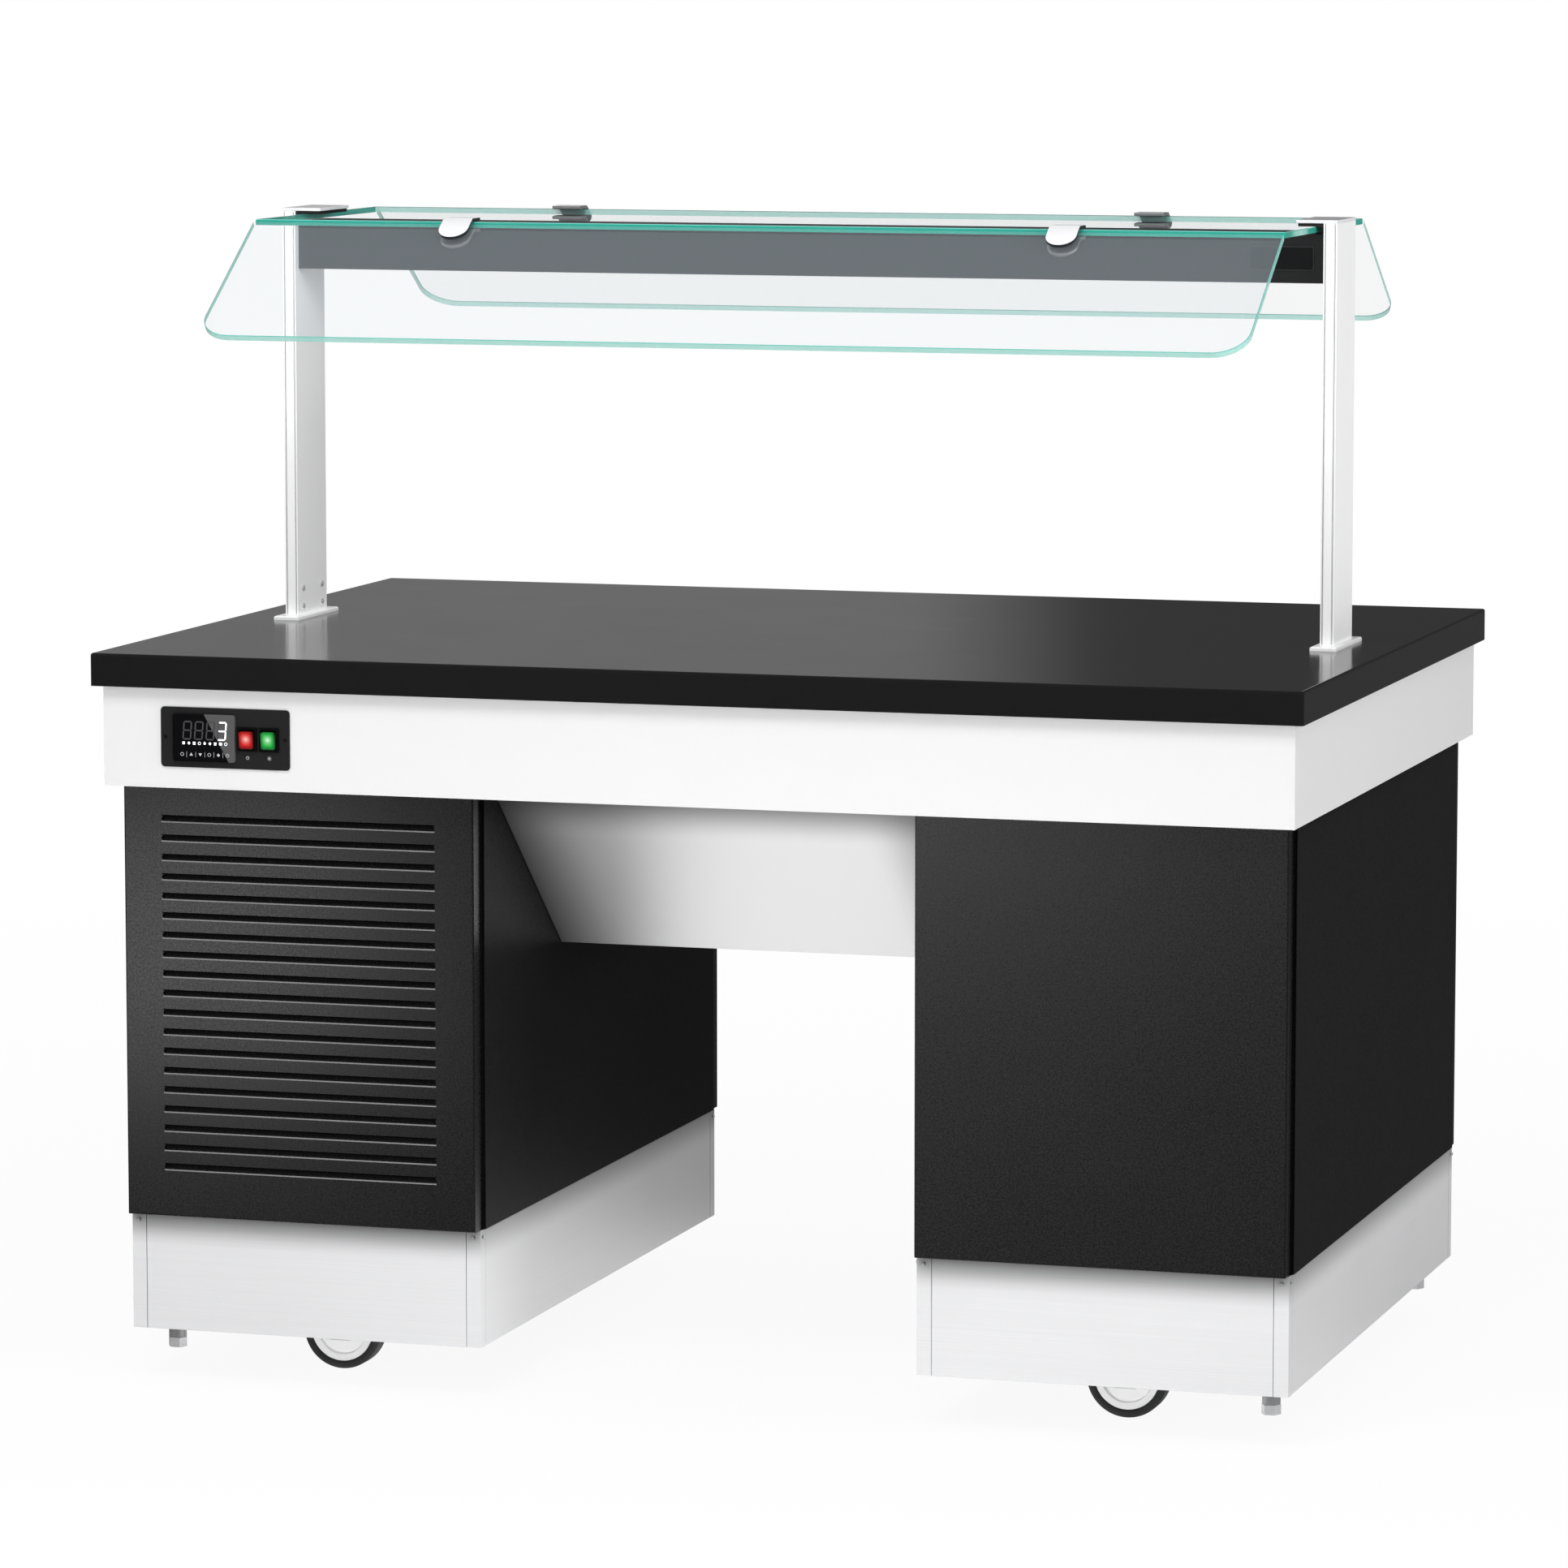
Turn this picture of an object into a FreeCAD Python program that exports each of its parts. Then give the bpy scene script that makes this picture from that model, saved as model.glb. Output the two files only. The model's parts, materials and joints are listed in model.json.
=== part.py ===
import FreeCAD, Part
import math
import os

import Sketcher
from FreeCAD import Placement, Rotation, Vector

# Cold buffet counter on two cabinets, with castors and a glass canopy.
# Millimetres. X runs along the counter, the front faces -Y and Z is up.
# The origin lies on the floor under the middle of the counter.

SIZES = {
    # worktop
    "top_overhang": 21,
    "top_depth": 1050,
    "top_height": 900,
    "slab_thick": 40,
    "slab_round": 3,
    # apron and the tray welded inside it
    "apron_inset": 12,
    "apron_drop": 122,
    "apron_sheet": 2,
    "apron_hem": 5,
    "tray_depth": 34,
    "tray_sheet": 2,
    # cold plate, coil and foam under the slab
    "plate_clear": 9.5,
    "plate_side": 81,
    "plate_thick": 3,
    "coil_tube": 10,
    "coil_side": 80,
    "coil_gap": 0.3,
    "coil_room": 13,
    "passage_fit": 1,
    # trough between the cabinets
    "trough_gap": 3,
    "trough_run": 338,
    "trough_drop": 307,
    "trough_collar": 15,
    "trough_sheet": 2,
    # cabinets
    "knee_width": 542,
    "cabinet_width": 458,
    "cabinet_step": 41,
    "cabinet_floor": 207,
    "panel_sheet": 2,
    "panel_return": 25,
    "panel_step": 4,
    "panel_seam": 3,
    "panel_round": 2,
    "panel_lap": 25,
    "angle_leg": 25,
    "angle_sheet": 3,
    "floor_sheet": 3,
    "rail_width": 80,
    # louvres in the front of the left cabinet
    "louvre_head": 66.6,
    "louvre_side": 53,
    "louvre_gap": 6,
    "louvre_low": 61,
    "vane_drop": 13,
    "vane_reach": 9,
    # plinth
    "kick_low": 63,
    "kick_step_side": 3,
    "kick_step_front": 16,
    "kick_sheet": 2,
    "kick_corner": 18,
    "kick_seam": 0.6,
    "kick_lip": 14,
    # castors
    "castor_inset": 138,
    "wheel_size": 100,
    "wheel_width": 32,
    "tyre_thick": 10,
    "tyre_shoulder": 3,
    "hub_step": 2,
    "rim_width": 9,
    "hub_dish": 6,
    "hub_draft": 1,
    "boss_radius": 13,
    "axle_size": 10,
    "axle_fit": 0.05,
    "castor_trail": 32,
    "race_high": 12,
    "fork_rise": 19,
    "fork_sheet": 3,
    "fork_clear": 2,
    "fork_neck": 9,
    "fork_head": 25,
    "fork_toe": 13,
    "bolt_head": 8,
    "bolt_head_thick": 5,
    "pin_size": 12,
    "pin_fit": 0.05,
    "pin_head": 9,
    "pin_head_thick": 3,
    "race_gap": 0.3,
    "race_radius": 24,
    "castor_plate_x": 96,
    "castor_plate_y": 68,
    "castor_plate_thick": 3,
    "bolt_edge_x": 10,
    "bolt_edge_y": 11,
    "plate_bolt_size": 8,
    # levelling feet
    "foot_inset_x": 34,
    "foot_inset_y": 60,
    "foot_low": 30,
    "foot_hex": 12,
    "foot_hex_high": 12,
    "foot_stud": 12,
    "foot_stud_long": 90,
    "foot_stud_room": 3,
    "foot_fit": 0.05,
    "foot_sleeve": 11,
    # control panel
    "control_inset": 75,
    "control_drop": 25.5,
    "control_high": 73,
    "control_thick": 2,
    "control_round": 5,
    "controller_edge": 16.5,
    "controller_wide": 79,
    "controller_high": 55,
    "controller_rim": 4,
    "controller_deep": 45,
    "controller_neck": 4,
    "window_thick": 1.5,
    "window_fit": 0.3,
    "switch_gap": 4,
    "bezel_gap": 3,
    "switch_edge": 13.5,
    "bezel_wide": 25,
    "bezel_high": 29,
    "bezel_thick": 2.5,
    "bezel_wall": 2.8,
    "bezel_deep": 22,
    "rocker_gap": 0.4,
    "rocker_room": 0.7,
    "rocker_rise": 4,
    "rocker_vee": 1,
    "rocker_back": 8,
    "rocker_pin": 3,
    "rocker_pin_long": 1.8,
    "rocker_fit": 0.05,
    "rocker_tilt": 8,
    "screw_edge": 6,
    # pan head screws of the plinth and the control panel
    "pan_head": 3.2,
    "pan_head_thick": 2,
    "pan_shank": 1.8,
    "pan_long": 5,
    "kick_screw_edge": 9,
    # canopy posts
    "post_inset": 71,
    "post_thick": 17,
    "post_depth": 102,
    "post_wall": 2,
    "post_high": 516,
    "groove_wide": 1.4,
    "groove_deep": 0.8,
    "groove_edge": 2.2,
    "foot_plate_over_x": 8,
    "foot_plate_over_y": 21,
    "foot_plate_thick": 5,
    "foot_plate_bevel": 1.5,
    "spigot_high": 60,
    "spigot_fit": 0.2,
    "spigot_stud": 12,
    "spigot_nut": 10,
    "spigot_nut_thick": 8,
    "stud_hole_fit": 0.5,
    "dome_radius": 4.5,
    "dome_high": 2.5,
    "dome_pitch_y": 66,
    "dome_low": 15,
    "dome_pitch_z": 23,
    "dome_shank": 2.5,
    "dome_long": 7,
    # lamp beam
    "beam_high": 60,
    "beam_pad": 1,
    "beam_depth": 80,
    "beam_sheet": 2,
    "beam_return": 12,
    "lamp_strip_wide": 24,
    "lamp_strip_thick": 4,
    "lamp_end": 30,
    "diffuser_thick": 3,
    "diffuser_fit": 0.4,
    "name_end": 14,
    "name_wide": 80,
    "name_high": 29,
    "name_thick": 2,
    # glass
    "glass_thick": 8,
    "glass_end": 10,
    "cap_pad": 4,
    "ridge_inset": 307,
    "ridge_gap": 5,
    "pane_slope": 33.4,
    "pane_long": 240,
    "pane_round": 42,
    # caps over the posts
    "cap_thick": 4,
    "cap_reach": 34,
    "pad_inset": 2,
    # glass clamps
    "clamp_inset": 268,
    "clamp_wide": 38,
    "clamp_thick": 4,
    "clamp_long": 38,
    "clamp_tab": 26,
    "clamp_pad": 0.6,
    "clamp_pin": 2,
    "clamp_pin_pitch": 18,
    # condensing unit in the left cabinet
    "unit_gap": 12,
    "unit_inset": 74,
    "unit_long": 510,
    "unit_sheet": 2,
    "unit_lip": 16,
    "condenser_side": 40,
    "condenser_deep": 44,
    "condenser_flat": 40,
    "condenser_rise": 12,
    "condenser_end": 2,
    "condenser_inset": 8,
    "fin_edge": 5,
    "fin_thick": 1,
    "condenser_tube": 5,
    "tube_edge": 30,
    "shroud_deep": 30,
    "shroud_sheet": 2,
    "fan_margin": 22,
    "fan_gap": 4,
    "fan_hub": 22,
    "fan_hub_long": 18,
    "blade_rise": 30,
    "blade_thick": 2,
    "fan_shaft": 8,
    "fan_shaft_fit": 0.05,
    "shaft_end_gap": 1,
    "motor_radius": 38,
    "motor_long": 62,
    "motor_arm": 14,
    "compressor_inset": 140,
    "compressor_side": 108,
    "compressor_step": 70,
    "compressor_round": 34,
    "compressor_foot_side": 85,
    "compressor_foot_wide": 120,
    "compressor_foot_thick": 4,
    "compressor_seat": 1,
    "mount_radius": 12,
    "mount_high": 16,
    "mount_inset": 16,
    "drier_radius": 15,
    "drier_long": 110,
    "line_radius": 5,
    "line_bend": 24,
    "line_clear": 36,
    "line_reach": 27.7,
    # electrical box on the rear panel of the left cabinet
    "box_gap": 22,
    "box_wide": 120,
    "box_deep": 70,
    "box_high": 180,
    "box_head": 126,
    "gland_rise": 73,
    "gland_fit": 0.3,
    "gland_radius": 11,
    "gland_bore": 4,
    "gland_long": 14,
    "gland_nut": 15,
    "gland_nut_thick": 5,
    # length that a cutting shape runs past what it cuts
    "overrun": 1,
}

COIL_RUNS = 8
HEX_SIDES = 6
DOME_SHARES = ((0.85, 0.5), (0.5, 0.85))
PARALLEL_SHARE = 1e-6
LOUVRE_COUNT = 19
FIN_COUNT = 30
CONDENSER_TUBES = 6
BLADE_COUNT = 5
FULL_TURN = 360
HALF_TURN = 180
QUARTER_TURN = 90


class Size:
    """A length that is known both as a number and as the sheet's expression."""

    def __init__(self, number, text):
        self.number = float(number)
        self.text = text

    def joined(self, sign, other, number):
        return Size(number, f"({self.text} {sign} {other.text})")

    def __add__(self, other):
        return self.joined("+", other, self.number + other.number)

    def __sub__(self, other):
        return self.joined("-", other, self.number - other.number)

    def __mul__(self, share):
        other = share if isinstance(share, Size) else Size(share, str(share))
        return self.joined("*", other, self.number * other.number)

    def __truediv__(self, share):
        other = share if isinstance(share, Size) else Size(share, str(share))
        return self.joined("/", other, self.number / other.number)

    def __neg__(self):
        return self * -1

    def sine(self):
        return Size(math.sin(math.radians(self.number)), f"sin({self.text})")

    def cosine(self):
        return Size(math.cos(math.radians(self.number)), f"cos({self.text})")


class Sheet:
    """The driving dimensions, each read as an attribute of its own name."""

    def __init__(self, document, sizes):
        self.cells = document.addObject("Spreadsheet::Sheet", "Sizes")
        for row, (alias, number) in enumerate(sizes.items(), start=1):
            self.cells.set(f"A{row}", alias)
            self.cells.set(f"B{row}", str(number))
            self.cells.setAlias(f"B{row}", alias)
            setattr(self, alias, Size(number, f"Sizes.{alias}"))


doc = FreeCAD.newDocument("buffet_counter")
S = Sheet(doc, SIZES)
doc.recompute()
ZERO = Size(0, "0")
NODES = []


# Places that several pieces share
CABINET_IN = S.knee_width / 2
CABINET_OUT = CABINET_IN + S.cabinet_width
CABINET_MID = CABINET_IN + S.cabinet_width / 2
HALF_LENGTH = CABINET_OUT + S.top_overhang
HALF_DEPTH = S.top_depth / 2
CABINET_Y = HALF_DEPTH - S.cabinet_step
SLAB_LOW = S.top_height - S.slab_thick
APRON_X = HALF_LENGTH - S.apron_inset
APRON_Y = HALF_DEPTH - S.apron_inset
APRON_LOW = SLAB_LOW - S.apron_drop
TRAY_LOW = SLAB_LOW - S.tray_depth
PANEL_TOP = APRON_LOW + S.panel_lap
FRAME_IN = CABINET_IN + S.panel_sheet
FRAME_OUT = CABINET_OUT - S.panel_sheet
FRAME_Y = CABINET_Y - S.panel_return
FLOOR_TOP = S.cabinet_floor + S.floor_sheet
TROUGH_TOP = APRON_Y - S.apron_sheet - S.trough_gap
LOUVRE_FIRST = S.cabinet_floor + S.louvre_low
LOUVRE_PITCH = (PANEL_TOP - S.louvre_head - LOUVRE_FIRST) / (LOUVRE_COUNT - 1)
LOUVRE_LENGTH = S.cabinet_width - S.louvre_side * 2
KICK_IN = CABINET_IN + S.kick_step_side
KICK_OUT = CABINET_OUT - S.kick_step_side
KICK_Y = CABINET_Y - S.kick_step_front
WHEEL_R = S.wheel_size / 2
HUB_DISH_R = WHEEL_R - S.tyre_thick - S.rim_width
HUB_WIDTH = S.wheel_width - S.hub_step * 2
FORK_GAP = S.wheel_width + S.fork_clear * 2
FORK_TOP = S.wheel_size + S.fork_rise
CASTOR_Y = KICK_Y - S.castor_inset
CASTOR_HIGH = FORK_TOP + S.race_high
FOOT_X = KICK_OUT - S.foot_inset_x
FOOT_Y = KICK_Y - S.foot_inset_y

# Control panel, from its left end to its right
SWITCHES_WIDE = S.switch_gap + S.bezel_wide * 2 + S.bezel_gap
CONTROL_WIDE = S.controller_edge + S.controller_wide + SWITCHES_WIDE + S.switch_edge
CONTROL_LEFT = S.control_inset - APRON_X
CONTROL_X = CONTROL_LEFT + CONTROL_WIDE / 2
CONTROL_Z = TRAY_LOW - S.control_drop
CONTROLLER_X = CONTROL_LEFT + S.controller_edge + S.controller_wide / 2
RED_X = CONTROLLER_X + S.controller_wide / 2 + S.switch_gap + S.bezel_wide / 2
GREEN_X = RED_X + S.bezel_wide + S.bezel_gap
ROCKER_SWEEP = S.bezel_high / 2 - S.bezel_wall - S.rocker_room

# Canopy, from the post caps down
POST_FACE = HALF_LENGTH - S.post_inset
POST_IN = POST_FACE - S.post_thick
POST_MID = POST_FACE - S.post_thick / 2
POST_Y = S.post_depth / 2
POST_TOP = S.top_height + S.post_high
GLASS_TOP = POST_TOP - S.cap_pad
GLASS_LOW = GLASS_TOP - S.glass_thick
GLASS_HALF = POST_IN - S.glass_end
BEAM_TOP = GLASS_LOW - S.beam_pad
BEAM_LOW = BEAM_TOP - S.beam_high
RIDGE_Y = HALF_DEPTH - S.ridge_inset
CLAMP_X = GLASS_HALF - S.clamp_inset
NAME_X = POST_IN - S.name_end - S.name_wide / 2

# Condensing unit, which fits between the legs of the left frame
UNIT_X = -CABINET_MID
UNIT_LOW = FLOOR_TOP
UNIT_HALF = S.cabinet_width / 2 - S.panel_sheet - S.angle_leg - S.unit_gap
UNIT_FRONT = S.unit_inset - CABINET_Y
UNIT_BACK = UNIT_FRONT + S.unit_long
CONDENSER_HALF = UNIT_HALF - S.condenser_side
CONDENSER_HIGH = CONDENSER_HALF * 2 - S.condenser_flat
CONDENSER_LOW = UNIT_LOW + S.condenser_rise
CONDENSER_PITCH = (CONDENSER_HIGH - S.tube_edge * 2) / (CONDENSER_TUBES - 1)
FIN_PITCH = (CONDENSER_HALF - S.fin_edge) * 2 / (FIN_COUNT - 1)
FAN_R = CONDENSER_HIGH / 2 - S.fan_margin
COMPRESSOR_Y = UNIT_BACK - S.compressor_inset
COMPRESSOR_R = UNIT_HALF - S.compressor_side
COMPRESSOR_HIGH = CONDENSER_HIGH - S.compressor_step
COMPRESSOR_FOOT = UNIT_HALF - S.compressor_foot_side

# Cold plate and coil, with room for the post nuts at both ends
PLATE_X = POST_MID - S.spigot_nut - S.passage_fit - S.plate_clear
PLATE_Y = APRON_Y - S.apron_sheet - S.plate_side
COIL_PITCH = (PLATE_Y - S.coil_side) * 2 / (COIL_RUNS - 1)
LINE_X = CABINET_MID + COMPRESSOR_R + S.coil_gap + S.line_reach
RUN_HALF = LINE_X - COIL_PITCH / 2

# Terminal box and cable inlet
BOX_X = -(FRAME_OUT - S.angle_leg - S.box_gap - S.box_wide / 2)
BOX_LOW = TRAY_LOW - S.box_head - S.box_high
GLAND_Z = S.cabinet_floor + S.gland_rise


# Small helpers for the document

def node(item, label):
    """Keeps a finished piece under its own name."""
    item.Label = label
    NODES.append((label, item))
    return item


def place(item, x, y, z, rotation=None):
    """Puts an item at three sizes, turned by an optional fixed rotation."""
    item.Placement = Placement(Vector(x.number, y.number, z.number), rotation or Rotation())
    for axis, size in (("x", x), ("y", y), ("z", z)):
        item.setExpression(f".Placement.Base.{axis}", size.text)
    return item


def bind(item, **sizes):
    for name, size in sizes.items():
        item.setExpression(name, size.text)
    return item


def block(name, x, y, z):
    """A box between a low and a high size along each axis."""
    item = doc.addObject("Part::Box", name)
    bind(item, Length=x[1] - x[0], Width=y[1] - y[0], Height=z[1] - z[0])
    return place(item, x[0], y[0], z[0])


def turned_to(axis):
    turns = {
        "x": Rotation(Vector(0, 1, 0), QUARTER_TURN),
        "y": Rotation(Vector(1, 0, 0), -QUARTER_TURN),
        "z": Rotation(),
    }
    return turns[axis]


def rod(name, x, y, z, radius, length, axis="z"):
    """A cylinder that starts at a point and runs along one axis."""
    item = doc.addObject("Part::Cylinder", name)
    bind(item, Radius=radius, Height=length)
    return place(item, x, y, z, turned_to(axis))


def hexagon(name, x, y, z, radius, length, axis="z"):
    item = doc.addObject("Part::Prism", name)
    item.Polygon = HEX_SIDES
    bind(item, Circumradius=radius, Height=length)
    return place(item, x, y, z, turned_to(axis))


def group(name, items):
    """Separate pieces that share one node."""
    item = doc.addObject("Part::Compound", name)
    item.Links = items
    return item


def fuse(name, items):
    item = doc.addObject("Part::MultiFuse", name)
    item.Shapes = items
    item.Refine = True
    return item


def cut(name, base, tools):
    item = doc.addObject("Part::Cut", name)
    item.Base = base
    item.Tool = tools[0] if len(tools) == 1 else fuse(f"{name}_tools", tools)
    item.Refine = True
    return item


def mirror(name, source, normal):
    """The source's twin across the middle plane with this normal."""
    item = doc.addObject("Part::Mirroring", name)
    item.Source = source
    item.Normal = normal
    return item


ACROSS_X = Vector(1, 0, 0)
ACROSS_Y = Vector(0, 1, 0)


# Helpers for bodies made from sketches

def new_body(name):
    return doc.addObject("PartDesign::Body", name)


def sketch_on(body, role, name, offset=ZERO):
    """A sketch on one of the body's own origin planes, moved out by a size."""
    item = body.newObject("Sketcher::SketchObject", name)
    plane = next(f for f in body.Origin.OriginFeatures if f.Role == role)
    item.AttachmentSupport = [(plane, "")]
    item.MapMode = "FlatFace"
    item.setExpression(".AttachmentOffset.Base.z", offset.text)
    return item


def hold(item, geometry, point, x, y):
    """Holds a sketch point at two sizes from the sketch's origin."""
    for kind, size, axis in (("DistanceX", x, -2), ("DistanceY", y, -1)):
        if size.number == 0:
            item.addConstraint(Sketcher.Constraint("PointOnObject", geometry, point, axis))
        else:
            rule = Sketcher.Constraint(kind, -1, 1, geometry, point, size.number)
            item.setExpression(f"Constraints[{item.addConstraint(rule)}]", size.text)


def outline(item, points):
    """Straight lines through the points and back to the first."""
    first = item.GeometryCount
    count = len(points)
    for start, end in zip(points, points[1:] + points[:1]):
        ends = [Vector(x.number, y.number) for x, y in (start, end)]
        item.addGeometry(Part.LineSegment(*ends))
    for index, (x, y) in enumerate(points):
        following = first + (index + 1) % count
        item.addConstraint(Sketcher.Constraint("Coincident", first + index, 2, following, 1))
        hold(item, first + index, 1, x, y)


def rectangle(item, x, y):
    outline(item, [(x[0], y[0]), (x[1], y[0]), (x[1], y[1]), (x[0], y[1])])


def circle(item, x, y, radius):
    centre = Vector(x.number, y.number)
    index = item.addGeometry(Part.Circle(centre, Vector(0, 0, 1), radius.number))
    hold(item, index, 3, x, y)
    rule = Sketcher.Constraint("Radius", index, radius.number)
    item.setExpression(f"Constraints[{item.addConstraint(rule)}]", radius.text)


def half_round(item, x, y, radius, start, finish):
    """A half circle between two angles, open on its flat side."""
    full = Part.Circle(Vector(x.number, y.number), Vector(0, 0, 1), radius.number)
    return item.addGeometry(Part.ArcOfCircle(full, math.radians(start), math.radians(finish)))


def line(item, x1, y1, x2, y2):
    ends = [Vector(x1.number, y1.number), Vector(x2.number, y2.number)]
    return item.addGeometry(Part.LineSegment(*ends))


def slot(item, x, y, gap):
    """A level slot with round ends whose end centres lie at the two x sizes."""
    radius = gap / 2
    top = line(item, x[0], y + radius, x[1], y + radius)
    right = half_round(item, x[1], y, radius, -QUARTER_TURN, QUARTER_TURN)
    low = line(item, x[1], y - radius, x[0], y - radius)
    left = half_round(item, x[0], y, radius, QUARTER_TURN, FULL_TURN - QUARTER_TURN)
    joins = ((top, 2, right, 2), (right, 1, low, 1), (low, 2, left, 2), (left, 1, top, 1))
    for one, one_end, two, two_end in joins:
        item.addConstraint(Sketcher.Constraint("Tangent", one, one_end, two, two_end))
    hold(item, right, 3, x[1], y)
    rule = Sketcher.Constraint("DistanceX", -1, 1, left, 3, x[0].number)
    item.setExpression(f"Constraints[{item.addConstraint(rule)}]", x[0].text)
    item.addConstraint(Sketcher.Constraint("Horizontal", top))
    rule = Sketcher.Constraint("Radius", right, radius.number)
    item.setExpression(f"Constraints[{item.addConstraint(rule)}]", radius.text)


def tongue(item, half, high, length):
    """A straight-sided tongue from a level line down to a round end."""
    straight = length - half
    top = line(item, half, high, -half, high)
    left = line(item, -half, high, -half, -straight)
    tip = half_round(item, ZERO, -straight, half, HALF_TURN, FULL_TURN)
    right = line(item, half, -straight, half, high)
    item.addConstraint(Sketcher.Constraint("Coincident", top, 2, left, 1))
    item.addConstraint(Sketcher.Constraint("Tangent", left, 2, tip, 1))
    item.addConstraint(Sketcher.Constraint("Tangent", tip, 2, right, 1))
    item.addConstraint(Sketcher.Constraint("Coincident", right, 2, top, 1))
    hold(item, top, 1, half, high)
    hold(item, top, 2, -half, high)
    item.addConstraint(Sketcher.Constraint("Vertical", left))
    hold(item, tip, 3, ZERO, -straight)


def solid_feature(body, kind, name, profile, **sizes):
    item = body.newObject(f"PartDesign::{kind}", name)
    item.Profile = profile
    return bind(item, **sizes)


def pad(body, name, profile, length, midplane=False, backward=False):
    item = solid_feature(body, "Pad", name, profile, Length=length)
    item.Midplane = midplane
    item.Reversed = backward
    return item


def pocket(body, name, profile, length=None, midplane=False, backward=False):
    """Cuts to a length, or right through where none is given."""
    item = solid_feature(body, "Pocket", name, profile)
    item.Midplane = midplane
    item.Reversed = backward
    if length is None:
        item.Type = "ThroughAll"
    else:
        bind(item, Length=length)
    return item


def revolve(body, name, profile, axis):
    item = solid_feature(body, "Revolution", name, profile)
    item.ReferenceAxis = (profile, [axis])
    item.Angle = FULL_TURN
    return item


def repeat(body, name, features, axis, pitch, count):
    """Repeats features along a sketch axis and makes the result the body's tip."""
    item = body.newObject("PartDesign::LinearPattern", name)
    item.Originals = features
    item.Direction = (features[0].Profile[0], [axis])
    item.Occurrences = count
    bind(item, Length=pitch * (count - 1))
    body.Tip = item
    return item


def straight_edges(feature, direction, keep):
    """Names of the straight edges along a direction whose middle passes a test."""
    names = []
    for index, edge in enumerate(feature.Shape.Edges, start=1):
        if len(edge.Vertexes) != 2 or edge.Curve.TypeId != "Part::GeomLine":
            continue
        run = edge.Vertexes[1].Point - edge.Vertexes[0].Point
        middle = (edge.Vertexes[1].Point + edge.Vertexes[0].Point) / 2
        if run.cross(direction).Length < PARALLEL_SHARE * run.Length and keep(middle):
            names.append(f"Edge{index}")
    return names


def round_edges(body, name, feature, edges, radius, kind="Fillet"):
    item = body.newObject(f"PartDesign::{kind}", name)
    item.Base = (feature, edges)
    bind(item, **{"Radius" if kind == "Fillet" else "Size": radius})
    return item


def everywhere(_):
    return True


UP = Vector(0, 0, 1)
ALONG_X = Vector(1, 0, 0)
ALONG_Y = Vector(0, 1, 0)


# Tubes bent along straight runs and arcs

def tube_path(points, bend):
    """One wire through the points with an arc of the bend radius at each corner."""
    edges = []
    start = points[0]
    for before, corner, after in zip(points, points[1:], points[2:]):
        inward = (before - corner).normalize()
        outward = (after - corner).normalize()
        half_angle = inward.getAngle(outward) / 2
        reach = bend / math.tan(half_angle)
        first = corner + inward * reach
        last = corner + outward * reach
        towards = (inward + outward).normalize()
        middle = corner + towards * (bend / math.sin(half_angle) - bend)
        edges.append(Part.LineSegment(start, first).toShape())
        edges.append(Part.Arc(first, middle, last).toShape())
        start = last
    edges.append(Part.LineSegment(start, points[-1]).toShape())
    return Part.Wire(edges)


def tube(points, radius, bend):
    path = tube_path(points, bend)
    run = points[1] - points[0]
    ring = Part.Wire(Part.Circle(points[0], run, radius).toShape())
    return path.makePipeShell([ring], True, False)


def point(x, y, z):
    return Vector(x.number, y.number, z.number)


def plain(name, shape):
    item = doc.addObject("Part::Feature", name)
    item.Shape = shape
    return item


# Worktop

def worktop():
    """Stone slab with softened top edges and a hole for each post stud."""
    body = new_body("slab_body")
    face = sketch_on(body, "XY_Plane", "slab_outline")
    rectangle(face, (-HALF_LENGTH, HALF_LENGTH), (-HALF_DEPTH, HALF_DEPTH))
    pad(body, "slab_pad", face, S.slab_thick)
    holes = sketch_on(body, "XY_Plane", "slab_stud_holes")
    for x in (-POST_MID, POST_MID):
        circle(holes, x, ZERO, S.spigot_stud / 2 + S.stud_hole_fit)
    holed = pocket(body, "slab_holes", holes, midplane=True)
    doc.recompute()
    high = S.slab_thick.number / 2

    def on_rim(middle):
        return middle.z > high

    rims = straight_edges(holed, ALONG_X, on_rim) + straight_edges(holed, ALONG_Y, on_rim)
    corners = straight_edges(holed, UP, everywhere)
    round_edges(body, "slab_soft_edges", holed, rims + corners, S.slab_round)
    place(body, ZERO, ZERO, SLAB_LOW)
    node(body, "worktop_slab")


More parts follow.
